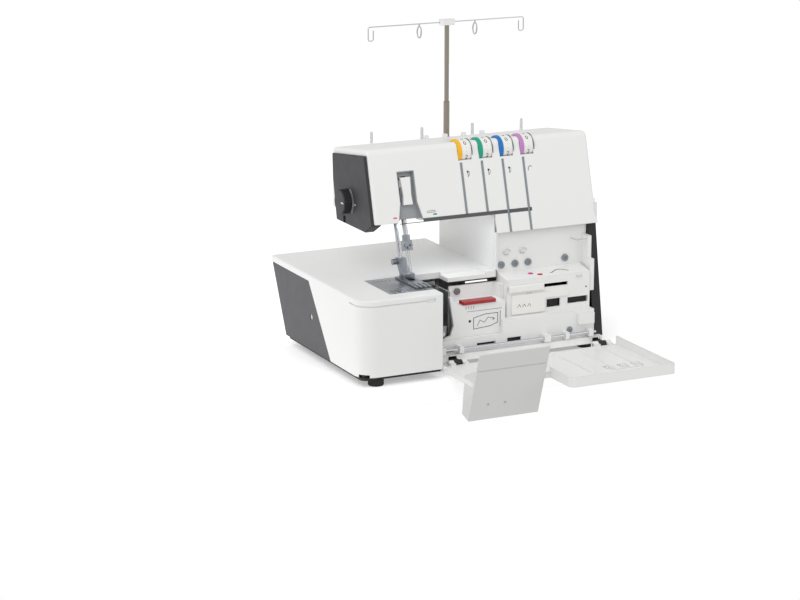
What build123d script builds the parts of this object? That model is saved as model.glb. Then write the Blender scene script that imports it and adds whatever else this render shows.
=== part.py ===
"""A coverlock sewing machine with its looper door open.

Frame: millimetres, +X to the machine's right, +Y to its back, +Z up. The origin is the middle of the
front left foot's underside, on the table. Places are written as distances across from the bed's left
side and back from its front, which across() and back() turn into X and Y.
"""

import os
from math import cos, radians, sin, tan

from build123d import *

os.makedirs("parts", exist_ok=True)

# Overall sizes
width = 410.0  # bed's left side to the column's right side
depth = 308.0  # bed, front to back
bed_top = 121.5
bed_width = 123.0  # the bed block left of the looper bay
foot_height = 10.0
foot_radius = 11.0
foot_inset = 28.0
wall = 2.5
gap = 0.4  # clear space between pieces that move past each other
running = 0.05  # radial clearance of a shaft in its bearing

# Base
base_floor = 4.0
base_back = 252.0
bay_front = 38.0  # the base's front edge behind the door hinge
cover_bottom = foot_height + base_floor
base_rim_top = cover_bottom + base_floor

# Bed
opening_back = 110.0
opening_right = 172.0
shelf_front = 83.0
bed_lip = 9.0
bed_corner = 24.0
plate_left = 55.0
plate_front = 25.0
plate_thickness = 2.0
ledge = 5.0

# Head and column
head_left = 62.0
head_back = 232.0
head_front_top = 304.0
head_back_top = 289.0
head_round = 9.0
arm_bottom = 204.0
column_left = 248.0
column_right = 396.0
column_back = 262.0
skirt_bottom = 176.0
skirt_front = 79.0
front_lean = 16.0
end_panel_drop = 15.0
side_cover = width - column_right

# Tension dials and their thread slots
dial_count = 4
first_dial = 201.0
dial_pitch = 32.8
dial_radius = 18.0
dial_rim = 6.5
drum_width = 14.0
drum_radius = 17.0
dial_back = 127.0
dial_height = 288.0
dial_axle_radius = 3.0
slot_width = 4.0
slot_top = 276.0

# Needle and presser bars
needle_across = 113.0
needle_tip = (82.0, 132.0)  # back, up
needle_length = 38.0
needle_radius = 0.6
needle_pitch = 2.8
needle_bar_radius = 3.6
presser_across = 110.0
presser_offset = 22.0
presser_bar_radius = 3.0
bar_top = 150.0  # length of both bars above the needle tips, along their slope

# Main drive
shaft_back = 175.0
shaft_height = 246.0
shaft_radius = 6.0
bush_radius = 10.0
bush_length = 14.0
wheel_radius = 34.0
wheel_width = 17.0
belt_across = 382.0
belt_width = 8.0
belt_thickness = 2.0
drive_pulley_radius = 26.0
motor_pulley_radius = 10.0
motor_back = 200.0
motor_height = 70.0
motor_radius = 30.0

# Spool stand and thread mast
tray_height = 228.0
tray_thickness = 6.0
tray_back = 298.0
spool_back = 268.0
spool_pins = (141.0, 222.0, 304.5, 386.0)
spool_pin_radius = 2.4
spool_pin_top = 298.0
pin_shank_radius = 2.8
pin_neck = 0.6
disc_radius = 14.0
disc_thickness = 2.0
mast_across = 262.0
mast_lower_radius = 4.5
mast_upper_radius = 3.4
mast_step = 333.0
mast_top = 444.0
wire_radius = 0.8
wire_height = mast_top + 5

# Door
hinge_back = 21.0
hinge_height = 13.0
hinge_radius = 2.5
door_open = 108.0
door_lean = 18.0  # how far the shut door leans back
door_left = 124.0
tray_left = 243.0
door_right = 409.0
door_skin = 2.5
door_drop = 3.0  # outer skin outside the hinge line
rim_height = 14.0
left_rim_height = 8.0
left_reach = 109.5
right_reach = 166.0
cloth_front_depth = 20.0
cloth_right = 231.0
cloth_back = 106.0
tongue_front = 80.0
tongue_thickness = 2.4


def across(distance):
    return distance - foot_inset


def back(distance):
    return distance - foot_inset / 2


def side(distance):
    """The plane that cuts the machine at a distance across; its x is Y and its y is Z."""
    return Plane.YZ.offset(across(distance))


def section(points):
    """Turns (back, up) pairs into points of a side plane."""
    return [(back(b), up) for b, up in points]


def plan(points):
    """Turns (across, back) pairs into points of a level plane."""
    return [(across(a), back(b)) for a, b in points]


def block(a_range, b_range, up_range, mode=Mode.ADD):
    """Adds a box between two distances across, two back and two heights."""
    (a0, a1), (b0, b1), (z0, z1) = a_range, b_range, up_range
    with Locations((across((a0 + a1) / 2), back((b0 + b1) / 2), (z0 + z1) / 2)):
        Box(a1 - a0, b1 - b0, z1 - z0, mode=mode)


def rod(start, end, radius, mode=Mode.ADD):
    """Adds a round bar between two (across, back, up) points."""
    first = Vector(across(start[0]), back(start[1]), start[2])
    last = Vector(across(end[0]), back(end[1]), end[2])
    with Locations(Plane(origin=first, z_dir=last - first)):
        Cylinder(radius, (last - first).length, mode=mode,
                 align=(Align.CENTER, Align.CENTER, Align.MIN))


def save(builder, name):
    builder.part.label = name
    export_step(builder.part, f"parts/{name}.step")


def face_back(up):
    """How far back the leaning front of the head is at a height."""
    return skirt_front + (up - skirt_bottom) * tan(radians(front_lean))


def up_face(up):
    """A height as a distance up the leaning front, from the skirt's lower edge."""
    return (up - skirt_bottom) / cos(radians(front_lean))


clamp_low, clamp_high = needle_length - 6, needle_length + 16.0
front_normal = (0, -cos(radians(front_lean)), sin(radians(front_lean)))
front_plane = Plane(
    origin=(0, back(skirt_front), skirt_bottom), x_dir=(1, 0, 0), z_dir=front_normal
)


def along_bar(distance, offset=0.0):
    """(back, up) of a point on the leaning needle line, above the tips, and behind by an offset."""
    lean = radians(front_lean)
    return (
        needle_tip[0] + distance * sin(lean) + offset * cos(lean),
        needle_tip[1] + distance * cos(lean) - offset * sin(lean),
    )


lug_height = 256.0  # where the take-up lever reaches back to the needle bar
face_to_bar = (needle_tip[0] - face_back(needle_tip[1])) * cos(radians(front_lean))


def door_direction(angle):
    """The way a line leaning back by an angle on the shut door points now that it is open."""
    turned = radians(door_open - angle)
    return (0, -sin(turned), cos(turned))


# Feet: four rubber discs under the base
foot_places = [
    (foot_inset, foot_inset / 2),
    (foot_inset, base_back - foot_inset / 2 - foot_radius),
    (column_right - foot_inset / 2, bay_front + foot_inset / 2 + foot_radius),
    (column_right - foot_inset / 2, base_back - foot_inset / 2 - foot_radius),
]
with BuildPart() as rubber_feet:
    with BuildSketch():
        with Locations(*plan(foot_places)):
            Circle(foot_radius)
    extrude(amount=foot_height)
    chamfer(rubber_feet.faces().sort_by(Axis.Z)[:4].edges(), 1.0)
save(rubber_feet, "rubber_feet")

# Base tray: a floor with a rim that stands inside the covers, and the lugs that carry the door
hinge_blocks = [(150.0, 162.0), (380.0, 392.0)]
base_outline = [
    (3.0, 4.0), (bed_width - 1, 4.0), (bed_width - 1, bay_front), (column_right - gap, bay_front),
    (column_right - gap, base_back), (3.0, base_back),
]
with BuildPart() as base_tray:
    with BuildSketch(Plane.XY.offset(foot_height)):
        with BuildLine():
            Polyline(*plan(base_outline), close=True)
        make_face()
        fillet(vertices(Select.LAST).sort_by(SortBy.DISTANCE)[0], 10.0)
    extrude(amount=base_floor)
    with BuildSketch(Plane.XY.offset(cover_bottom)):
        with BuildLine():
            Polyline(*plan(base_outline), close=True)
        make_face()
        offset(amount=-3.0, kind=Kind.INTERSECTION, mode=Mode.REPLACE)
        offset(amount=-wall, kind=Kind.INTERSECTION, mode=Mode.SUBTRACT)
    extrude(amount=base_floor)
    for start, end in hinge_blocks:
        block((start, end), (hinge_back, bay_front + 1), (foot_height, cover_bottom + 2))
        rod((start, hinge_back, hinge_height), (end, hinge_back, hinge_height), hinge_radius + 2.5)
        rod((start - 1, hinge_back, hinge_height), (end + 1, hinge_back, hinge_height), hinge_radius,
            Mode.SUBTRACT)
save(base_tray, "base_tray")

# Bed cover: the white block under the needle, with the shelf that runs back and right to the column
bed_outline = [
    (0, 0), (bed_width, 0), (bed_width, opening_back), (opening_right, opening_back),
    (opening_right, shelf_front), (column_left, shelf_front), (column_left, depth), (0, depth),
]
needle_pocket = (plate_left, bed_width), (plate_front, opening_back)
undercut_foot = depth - 50
panel_depth = 1.6
panel_front_top = 176.0
panel_front_bottom = 101.0
groove_below = 9.0
groove_width = 1.4
groove_right = 100.0
groove_back = 38.0
with BuildPart() as bed_cover:
    with BuildSketch(Plane.XY.offset(cover_bottom)):
        with BuildLine():
            Polyline(*plan(bed_outline), close=True)
        make_face()
    extrude(amount=bed_top - cover_bottom)
    fillet(bed_cover.edges().filter_by(Axis.Z).sort_by(SortBy.DISTANCE)[0], bed_corner)
    with BuildSketch(side(-1)):
        with BuildLine():
            Polyline(*section([(depth + 1, cover_bottom - 1), (undercut_foot, cover_bottom - 1),
                               (depth - 3, bed_top - bed_lip), (depth + 1, bed_top - bed_lip)]),
                     close=True)
        make_face()
    extrude(amount=column_left + 2, mode=Mode.SUBTRACT)
    fillet(bed_cover.faces().sort_by(Axis.Z)[-1].edges().filter_by(GeomType.CIRCLE), 2.0)
    with BuildSketch(side(wall)):
        with BuildLine():
            Polyline(*section([(wall, cover_bottom - 1), (undercut_foot - wall, cover_bottom - 1),
                               (depth - 3 - wall, bed_top - bed_lip), (depth - wall, bed_top - wall),
                               (wall, bed_top - wall)]), close=True)
        make_face()
    extrude(amount=bed_width - 2 * wall, mode=Mode.SUBTRACT)
    with BuildSketch(side(bed_width - 2 * wall)):
        with BuildLine():
            Polyline(*section([(plate_front - ledge, cover_bottom - 1),
                               (undercut_foot - wall, cover_bottom - 1),
                               (depth - 3 - wall, bed_top - bed_lip), (depth - wall, bed_top - wall),
                               (opening_back + wall, bed_top - wall),
                               (opening_back + wall, bed_top - bed_lip),
                               (plate_front - ledge, bed_top - bed_lip)]), close=True)
        make_face()
    extrude(amount=column_left - bed_width + wall, mode=Mode.SUBTRACT)
    block((column_left - 2 * wall, column_left + 1), (shelf_front - 1, column_back - wall),
          (cover_bottom - 1, bed_top - bed_lip), Mode.SUBTRACT)
    with BuildSketch(Plane.XY.offset(base_rim_top)):
        with Locations(*plan([(bed_corner, bed_corner)])):
            Circle(bed_corner)
            Circle(bed_corner - wall, mode=Mode.SUBTRACT)
        with Locations(*plan([(bed_corner / 2, bed_corner / 2)])):
            Rectangle(bed_corner, bed_corner, mode=Mode.INTERSECT)
    extrude(amount=bed_top - wall - base_rim_top)
    block((opening_right - 1, cloth_right + 2 * gap), (shelf_front - 1, cloth_back + 2 * gap),
          (bed_top - tongue_thickness - 2 * gap, bed_top + 1), Mode.SUBTRACT)
    block(*needle_pocket, (bed_top - plate_thickness, bed_top + 1), Mode.SUBTRACT)
    block((plate_left + ledge, bed_width + 1), (plate_front + ledge, opening_back - ledge),
          (cover_bottom, bed_top), Mode.SUBTRACT)
    with BuildSketch(side(0)):
        with BuildLine():
            Polyline(*section([(depth, cover_bottom - 1), (panel_front_bottom, cover_bottom - 1),
                               (panel_front_top, bed_top - bed_lip), (depth, bed_top - bed_lip)]),
                     close=True)
        make_face()
    extrude(amount=panel_depth, mode=Mode.SUBTRACT)
    with BuildSketch(Plane.XY.offset(bed_top - groove_below)):
        with Locations(plan([(groove_right / 2, groove_back / 2)])[0]):
            Rectangle(groove_right, groove_back)
        with BuildLine():
            Polyline(*plan([(1.2, 1.2), (groove_right, 1.2), (groove_right, groove_back),
                            (1.2, groove_back)]), close=True)
        make_face(mode=Mode.SUBTRACT)
        with BuildLine():
            Polyline(*plan([(1.2, 1.2), (bed_corner, 1.2), (1.2, bed_corner)]), close=True)
        make_face(mode=Mode.ADD)
        with Locations(plan([(bed_corner, bed_corner)])[0]):
            Circle(bed_corner - 1.2, mode=Mode.SUBTRACT)
    extrude(amount=groove_width, mode=Mode.SUBTRACT)
    block((groove_right, groove_right + 12), (-1, 1.8),
          (bed_top - groove_below - 2, bed_top - groove_below + 3), Mode.SUBTRACT)
save(bed_cover, "bed_cover")

# Bed side panel: the dark panel let into the bed's left side
with BuildPart() as bed_side_panel:
    with BuildSketch(side(0)):
        with BuildLine():
            Polyline(*section([(undercut_foot, cover_bottom), (panel_front_bottom + 0.8, cover_bottom),
                               (panel_front_top, bed_top - bed_lip - gap),
                               (depth - 3, bed_top - bed_lip - gap)]), close=True)
        make_face()
    extrude(amount=panel_depth)
    rod((-1, 168, 62), (panel_depth + 1, 168, 62), 4.5, Mode.SUBTRACT)
save(bed_side_panel, "bed_side_panel")

# Needle plate, feed dog and the plate's screws
feed_slots = [needle_across - 6.6, needle_across + 6.6]
feed_bar = 3.4
feed_back = 74.0
feed_length = 38.0
feed_height = 10.5
with BuildPart() as needle_plate:
    block((plate_left + gap, bed_width), (plate_front + gap, opening_back - gap),
          (bed_top - plate_thickness, bed_top))
    for slot in feed_slots:
        block((slot - 2.2, slot + 2.2), (feed_back - feed_length / 2 - 1.5, feed_back + feed_length / 2 + 1.5),
              (bed_top - 3, bed_top + 1), Mode.SUBTRACT)
    block((needle_across - 3.8, needle_across + 3.8), (needle_tip[0] - 8, needle_tip[0] + 2),
          (bed_top - 3, bed_top + 1), Mode.SUBTRACT)
save(needle_plate, "needle_plate")

with BuildPart() as feed_dog:
    for slot in feed_slots:
        block((slot - feed_bar / 2, slot + feed_bar / 2), (feed_back - feed_length / 2, feed_back + feed_length / 2),
              (bed_top - feed_height, bed_top - 0.6))
        with BuildSketch(side(slot - 3)):
            tooth = feed_length / 12
            with Locations(*section([(feed_back - feed_length / 2 + tooth * (n + 0.5), bed_top - 0.6)
                                     for n in range(12)])):
                Rectangle(1.2, 1.6)
        extrude(amount=6, mode=Mode.SUBTRACT)
    block((feed_slots[0] - feed_bar / 2, feed_slots[1] + feed_bar / 2), (feed_back + feed_length / 2 - 6, feed_back + feed_length / 2),
          (bed_top - feed_height, bed_top - feed_height + 3))
save(feed_dog, "feed_dog")

# Head cover: the arm's and the column's front, top, end and floor in one moulding
head_points = [
    (face_back(arm_bottom), arm_bottom), (face_back(head_front_top), head_front_top),
    (head_back, head_back_top), (head_back, arm_bottom),
]
take_up_points = [(98.0, arm_bottom - 1), (103.5, 230.0), (103.5, 272.0), (130.0, 272.0), (130.0, 230.0),
                  (137.0, arm_bottom - 1)]
trim_low, trim_high = arm_bottom - 2.0, arm_bottom + 3.0
trim_left, trim_right = 100.0, 307.0
trim_depth = 1.4
dial_places = [first_dial + dial_pitch * n for n in range(dial_count)]
slot_bottoms = [trim_high, trim_high, skirt_bottom - 1, skirt_bottom - 1]
bar_hole = (96.0, 132.0), (face_back(arm_bottom) + wall, 150.0)
with BuildSketch(Plane.XY) as head_section:
    with BuildLine():
        Polyline(*section(head_points), close=True)
    make_face()
    fillet(head_section.vertices().sort_by(Axis.Y)[-2:], head_round)
with BuildPart() as head_cover:
    with BuildSketch(side(head_left)):
        add(head_section.sketch_local)
    extrude(amount=width - head_left)
    fillet(head_cover.faces().sort_by(Axis.X)[0].edges().sort_by(Axis.Z)[1:], 5.0)
    fillet(head_cover.faces().sort_by(Axis.X)[-1].edges().sort_by(Axis.Z)[1:], 5.0)
    with BuildSketch(side(column_left)):
        with BuildLine():
            Polyline(*section([(face_back(skirt_bottom), skirt_bottom),
                               (face_back(arm_bottom + 6), arm_bottom + 6),
                               (face_back(arm_bottom + 6) + wall, arm_bottom + 6),
                               (face_back(skirt_bottom) + wall, skirt_bottom)]), close=True)
        make_face()
    extrude(amount=width - column_left)
    block((width - wall, width), (face_back(skirt_bottom + 8), head_back), (skirt_bottom, arm_bottom + 1))
    with BuildSketch(side(head_left + wall)):
        add(head_section.sketch_local)
        offset(amount=-wall, mode=Mode.REPLACE)
    extrude(amount=width - head_left - 2 * wall, mode=Mode.SUBTRACT)
    block((head_left + wall, width - wall), (head_back - wall - 1, head_back + 1),
          (arm_bottom + wall, head_back_top - head_round), Mode.SUBTRACT)
    block((column_left + wall, width - wall), (face_back(arm_bottom) + 2 * wall, head_back + 1),
          (arm_bottom - 1, arm_bottom + wall + 1), Mode.SUBTRACT)
    block(*bar_hole, (arm_bottom - 1, arm_bottom + wall + 1), Mode.SUBTRACT)
    with BuildSketch(front_plane):
        with BuildLine():
            Polyline(*[(across(a), up_face(z)) for a, z in take_up_points], close=True)
        make_face()
    extrude(amount=-2 * wall, mode=Mode.SUBTRACT)
    with BuildSketch(front_plane):
        for place, bottom in zip(dial_places, slot_bottoms):
            with Locations((across(place + dial_rim / 2), (up_face(bottom) + up_face(slot_top)) / 2)):
                Rectangle(slot_width, up_face(slot_top) - up_face(bottom))
    extrude(amount=-2 * wall, mode=Mode.SUBTRACT)
    for place in dial_places:
        block((place - gap, place + dial_rim + drum_width + gap),
              (dial_back - dial_radius - 8, dial_back + dial_radius - 1),
              (dial_height - dial_radius / 2, head_front_top + 5), Mode.SUBTRACT)
    with BuildSketch(front_plane):
        with Locations((across((trim_left + trim_right) / 2), up_face((trim_low + trim_high) / 2))):
            Rectangle(trim_right - trim_left, up_face(trim_high) - up_face(trim_low))
    extrude(amount=-trim_depth, mode=Mode.SUBTRACT)
    rod((width - 3 * wall, shaft_back, shaft_height), (width + 1, shaft_back, shaft_height),
        shaft_radius + 2, Mode.SUBTRACT)
save(head_cover, "head_cover")

# Trims let into the head's front
with BuildPart() as edge_trim:
    with BuildSketch(front_plane.offset(-trim_depth)):
        with Locations((across((trim_left + trim_right) / 2), up_face((trim_low + trim_high) / 2))):
            Rectangle(trim_right - trim_left, up_face(trim_high) - up_face(trim_low))
        with BuildLine():
            Polyline(*[(across(a), up_face(z)) for a, z in take_up_points], close=True)
        make_face(mode=Mode.SUBTRACT)
        for place in dial_places[2:]:
            with Locations((across(place + dial_rim / 2), up_face(arm_bottom))):
                Rectangle(slot_width, 20.0, mode=Mode.SUBTRACT)
    extrude(amount=trim_depth)
save(edge_trim, "edge_trim")

with BuildPart() as thread_slot_trims:
    with BuildSketch(front_plane.offset(-2 * wall)):
        for place, bottom in zip(dial_places, slot_bottoms):
            low = max(bottom, skirt_bottom + 0.5)
            with Locations((across(place + dial_rim / 2), (up_face(low) + up_face(slot_top)) / 2)):
                Rectangle(slot_width, up_face(slot_top) - up_face(low))
    extrude(amount=2 * wall - 1.2)
save(thread_slot_trims, "thread_slot_trims")

recess_depth = 8.0
recess_wall = 1.2
stroke_down, stroke_up = 20.0, 4.0
lever_slot_half = 5.0
with BuildPart() as take_up_recess:
    with BuildSketch(front_plane.offset(-recess_depth)):
        with BuildLine():
            Polyline(*[(across(a), up_face(z)) for a, z in take_up_points], close=True)
        make_face()
    extrude(amount=recess_depth - 0.6)
    with BuildSketch(front_plane.offset(-recess_depth + recess_wall)):
        with BuildLine():
            Polyline(*[(across(a), up_face(z)) for a, z in take_up_points], close=True)
        make_face()
        offset(amount=-recess_wall, mode=Mode.REPLACE)
    extrude(amount=recess_depth, mode=Mode.SUBTRACT)
    block((90, 140), (60, 140), (arm_bottom - 6, arm_bottom + wall + 0.2), Mode.SUBTRACT)
    with BuildSketch(front_plane.offset(-recess_depth - 1)):
        with Locations((across(needle_across), up_face(lug_height) + (stroke_up - stroke_down) / 2)):
            Rectangle(2 * lever_slot_half + 2, stroke_down + stroke_up + 2 * lever_slot_half + 2)
    extrude(amount=recess_wall + 1.5, mode=Mode.SUBTRACT)
save(take_up_recess, "take_up_recess")

with BuildPart() as take_up_lever:
    with BuildSketch(front_plane.offset(-recess_depth + recess_wall + gap)):
        with BuildLine():
            Polyline(*[(across(a), up_face(z)) for a, z in
                       [(109.0, 227), (110.5, 240), (108.5, 264), (124.0, 264), (122.5, 240),
                        (123.5, 227)]], close=True)
        make_face()
    extrude(amount=recess_depth - recess_wall - 1.4)
    with BuildSketch(front_plane.offset(-recess_depth + recess_wall + gap + 1)):
        with Locations((across(needle_across), up_face(lug_height))):
            Rectangle(2 * lever_slot_half, 2 * lever_slot_half)
    extrude(amount=-(face_to_bar + recess_wall - recess_depth + gap + 1))
    rod((needle_across, *along_bar(clamp_high - 6)), (needle_across, *along_bar(bar_top)),
        needle_bar_radius, Mode.SUBTRACT)
save(take_up_lever, "take_up_lever")

# Head end panel with the presser foot pressure dial
end_points = [
    (face_back(arm_bottom) + 3, arm_bottom - 2), (face_back(head_front_top - 8) + 2, head_front_top - 8),
    (head_back - 10, head_back_top - 7), (head_back - 12, arm_bottom + 42),
    (head_back - 24, arm_bottom - end_panel_drop), (face_back(arm_bottom) + 26, arm_bottom - end_panel_drop),
]
knob_back, knob_height, knob_radius = 173.0, 222.0, 17.5
knob_width = 11.0
end_plate = 4.0
with BuildPart() as head_end_panel:
    with BuildSketch(side(head_left - end_plate)):
        with BuildLine():
            Polyline(*section(end_points), close=True)
        make_face()
    extrude(amount=end_plate)
    chamfer(head_end_panel.faces().sort_by(Axis.X)[0].edges(), 1.2)
    with BuildSketch(side(head_left)):
        with BuildLine():
            Polyline(*section([end_points[0], end_points[5], end_points[4],
                               (head_back - 18, arm_bottom), (face_back(arm_bottom) + 3, arm_bottom)]),
                     close=True)
        make_face()
    extrude(amount=10)
    rod((head_left - end_plate - 1, knob_back, knob_height), (head_left + 1, knob_back, knob_height),
        4 + running, Mode.SUBTRACT)
    block((head_left - end_plate - 1, head_left - 2), (176, 184), (190, 200), Mode.SUBTRACT)
save(head_end_panel, "head_end_panel")

knob_face = head_left - end_plate - gap
with BuildPart() as pressure_dial:
    with BuildSketch(side(knob_face - knob_width)):
        with Locations(section([(knob_back, knob_height)])[0]):
            Circle(knob_radius)
    extrude(amount=knob_width)
    chamfer(pressure_dial.faces().sort_by(Axis.X)[0].edges(), 1.5)
    with BuildSketch(side(knob_face - knob_width)):
        with Locations(section([(knob_back, knob_height)])[0]):
            with PolarLocations(knob_radius + 0.4, 28):
                Circle(1.1)
    extrude(amount=knob_width, mode=Mode.SUBTRACT)
    rod((knob_face, knob_back, knob_height), (head_left, knob_back, knob_height), 4.0)
save(pressure_dial, "pressure_dial")

# Tension dials: a coloured rim and a numbered drum on one axle
dial_colours = ("yellow", "green", "blue", "purple")
for place, colour in zip(dial_places, dial_colours):
    with BuildPart() as tension_dial:
        rod((place, dial_back, dial_height), (place + dial_rim, dial_back, dial_height), dial_radius)
        fillet(tension_dial.edges().filter_by(GeomType.CIRCLE), 1.2)
        with BuildSketch(side(place)):
            with Locations(section([(dial_back, dial_height)])[0]):
                with PolarLocations(dial_radius + 0.5, 36):
                    Circle(1.0)
        extrude(amount=dial_rim, mode=Mode.SUBTRACT)
        rod((place + dial_rim, dial_back, dial_height),
            (place + dial_rim + drum_width, dial_back, dial_height), drum_radius)
        rod((place - 1, dial_back, dial_height), (place + dial_rim + drum_width + 1, dial_back, dial_height),
            dial_axle_radius + running, Mode.SUBTRACT)
    save(tension_dial, f"tension_dial_{colour}")

last_dial = dial_places[-1] + dial_rim + drum_width
with BuildPart() as dial_axle:
    rod((first_dial - 8, dial_back, dial_height), (last_dial + 8, dial_back, dial_height), dial_axle_radius)
save(dial_axle, "dial_axle")

disc_up = 245.0
with BuildPart() as tension_discs:
    for place in dial_places:
        for shift in (-2.6, 1.4):
            rod((place + dial_rim / 2 + shift, face_back(disc_up) + 18, disc_up),
                (place + dial_rim / 2 + shift + 1.2, face_back(disc_up) + 18, disc_up), 9.0)
        rod((place + dial_rim / 2 - 5, face_back(disc_up) + 18, disc_up),
            (place + dial_rim / 2 + 5, face_back(disc_up) + 18, disc_up), 2.0)
save(tension_discs, "tension_discs")

# Rear cover of the head, with cooling slots and a slot for the presser lever
lever_slot = (presser_across - 8, presser_across + 8)
with BuildPart() as rear_cover:
    block((head_left + wall, width - wall), (head_back - wall, head_back),
          (arm_bottom + wall, head_back_top - head_round))
    block(lever_slot, (head_back - wall - 1, head_back + 1), (arm_bottom + wall, 262), Mode.SUBTRACT)
    for row in range(7):
        block((300, 360), (head_back - wall - 1, head_back + 1), (240 + 5 * row, 242 + 5 * row),
              Mode.SUBTRACT)
save(rear_cover, "rear_cover")

bay_wall = 87.0
panel_wall = 3.0

# Column cover: the wall that the workspace ends at, and the column's back
with BuildPart() as column_cover:
    with BuildSketch(side(column_left)):
        with BuildLine():
            Polyline(*section([(bay_wall + panel_wall, bed_top - bed_lip), (bay_wall + panel_wall, skirt_bottom),
                               (face_back(arm_bottom) + wall + gap, skirt_bottom + 8),
                               (face_back(arm_bottom) + wall + gap, arm_bottom), (column_back, arm_bottom),
                               (column_back, bed_top - bed_lip)]), close=True)
        make_face()
    extrude(amount=wall)
    block((column_left, column_right), (column_back - wall, column_back), (cover_bottom, arm_bottom))
    block((column_left + wall, column_right), (head_back, column_back), (arm_bottom - wall, arm_bottom))
    for row in range(9):
        block((290, 350), (column_back - wall - 1, column_back + 1), (40 + 6 * row, 43 + 6 * row),
              Mode.SUBTRACT)
save(column_cover, "column_cover")

# Column side cover: the black moulding that closes the right side
side_points = [
    (face_back(skirt_bottom) + 6, skirt_bottom - gap), (bay_front + 21, cover_bottom),
    (column_back - 8, cover_bottom), (column_back, arm_bottom), (head_back + gap, arm_bottom),
    (head_back + gap, skirt_bottom - gap),
]
inlet_back, inlet_height = 205.0, 48.0
inlet_size = (48.0, 30.0)
switch_height = 92.0
switch_size = (16.0, 24.0)
with BuildPart() as column_side_cover:
    with BuildSketch(side(column_right)):
        with BuildLine():
            Polyline(*section(side_points), close=True)
        make_face()
    extrude(amount=side_cover)
    with BuildSketch(side(column_right)):
        with BuildLine():
            Polyline(*section(side_points), close=True)
        make_face()
        offset(amount=-wall, kind=Kind.INTERSECTION, mode=Mode.REPLACE)
    extrude(amount=side_cover - wall, mode=Mode.SUBTRACT)
    block((column_right, width + 1), (inlet_back - inlet_size[0] / 2, inlet_back + inlet_size[0] / 2),
          (inlet_height - inlet_size[1] / 2, inlet_height + inlet_size[1] / 2), Mode.SUBTRACT)
    block((column_right, width + 1), (inlet_back - switch_size[0] / 2, inlet_back + switch_size[0] / 2),
          (switch_height - switch_size[1] / 2, switch_height + switch_size[1] / 2), Mode.SUBTRACT)
save(column_side_cover, "column_side_cover")

with BuildPart() as power_inlet:
    block((column_right, width - 1), (inlet_back - inlet_size[0] / 2, inlet_back + inlet_size[0] / 2),
          (inlet_height - inlet_size[1] / 2, inlet_height + inlet_size[1] / 2))
    block((column_right + 2, width), (inlet_back - 20, inlet_back - 2), (inlet_height - 9, inlet_height + 9),
          Mode.SUBTRACT)
    block((column_right + 2, width), (inlet_back + 3, inlet_back + 19), (inlet_height - 9, inlet_height + 9),
          Mode.SUBTRACT)
    for step in (-12.0, -8.0, 9.0, 13.0):
        rod((column_right + 2, inlet_back + step, inlet_height), (width - 4, inlet_back + step, inlet_height),
            0.8)
save(power_inlet, "power_inlet")

with BuildPart() as power_switch:
    with BuildSketch(side(width - 5)):
        with Locations(section([(inlet_back, switch_height)])[0]):
            Rectangle(switch_size[0] - 2, switch_size[1] - 5)
    extrude(amount=6.5)
    rod((width - 3, inlet_back - switch_size[0] / 2 + gap, switch_height),
        (width - 3, inlet_back + switch_size[0] / 2 - gap, switch_height), 1.5)
    block((width + 0.5, width + 2), (inlet_back - 9, inlet_back + 9), (switch_height - 3, switch_height + 3),
          Mode.SUBTRACT)
save(power_switch, "power_switch")

# Main frame: the casting that carries the shaft, the motor, the looper and the bars
frame_floor = cover_bottom + 3
lever_pivot = (head_back - 16, 232.0)
guide_low, guide_high = 91.0, 99.0
bush_wall = 2.0
post_left, post_right = 300.0, 340.0
bars = [(needle_across, 0.0, needle_bar_radius), (presser_across, presser_offset, presser_bar_radius)]
with BuildPart() as main_frame:
    block((20, 380), (120, 240), (cover_bottom, frame_floor + 4))
    block((bed_width + 2, 164), (50, 121), (cover_bottom, frame_floor + 4))
    block((post_left, post_right), (150, 158), (frame_floor, shaft_height - 20))
    block((post_left, post_left + 8), (158, 205), (frame_floor, shaft_height - 20))
    block((80, 376), (shaft_back - 14, shaft_back + 14), (shaft_height - 26, shaft_height - 20))
    for place in (82.0, 225.0, 358.0):
        block((place, place + bush_length), (shaft_back - 14, shaft_back + 14),
              (shaft_height - 21, shaft_height + 14))
        rod((place - 1, shaft_back, shaft_height), (place + bush_length + 1, shaft_back, shaft_height),
            bush_radius, Mode.SUBTRACT)
    for start in (presser_across - 12, presser_across + 6):
        block((start, start + 6), (shaft_back + 8, lever_pivot[0] + 6), (shaft_height - 26, shaft_height - 20))
        block((start, start + 6), (lever_pivot[0] - 8, lever_pivot[0] + 6), (shaft_height - 21, lever_pivot[1] + 6))
    rod((presser_across - 12, *lever_pivot), (presser_across + 12, *lever_pivot), 3.0)
    bush_back, bush_up = along_bar((guide_low + guide_high) / 2)
    block((presser_across - 8, needle_across + 8), (bush_back - 2, shaft_back - 10),
          (shaft_height - 26, shaft_height - 20))
    for a, behind, radius in bars:
        rod((a, *along_bar(guide_low - 10, behind)), (a, *along_bar(guide_high + 10, behind)), radius + bush_wall,
            Mode.SUBTRACT)
save(main_frame, "main_frame")

with BuildPart() as shaft_bushes:
    for place in (82.0, 225.0, 358.0):
        rod((place, shaft_back, shaft_height), (place + bush_length, shaft_back, shaft_height), bush_radius)
        rod((place - 1, shaft_back, shaft_height), (place + bush_length + 1, shaft_back, shaft_height),
            shaft_radius + running, Mode.SUBTRACT)
save(shaft_bushes, "shaft_bushes")

with BuildPart() as main_shaft:
    rod((74, shaft_back, shaft_height), (width + 1, shaft_back, shaft_height), shaft_radius)
    rod((98, shaft_back, shaft_height), (108, shaft_back, shaft_height), 15.0)
save(main_shaft, "main_shaft")

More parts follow.
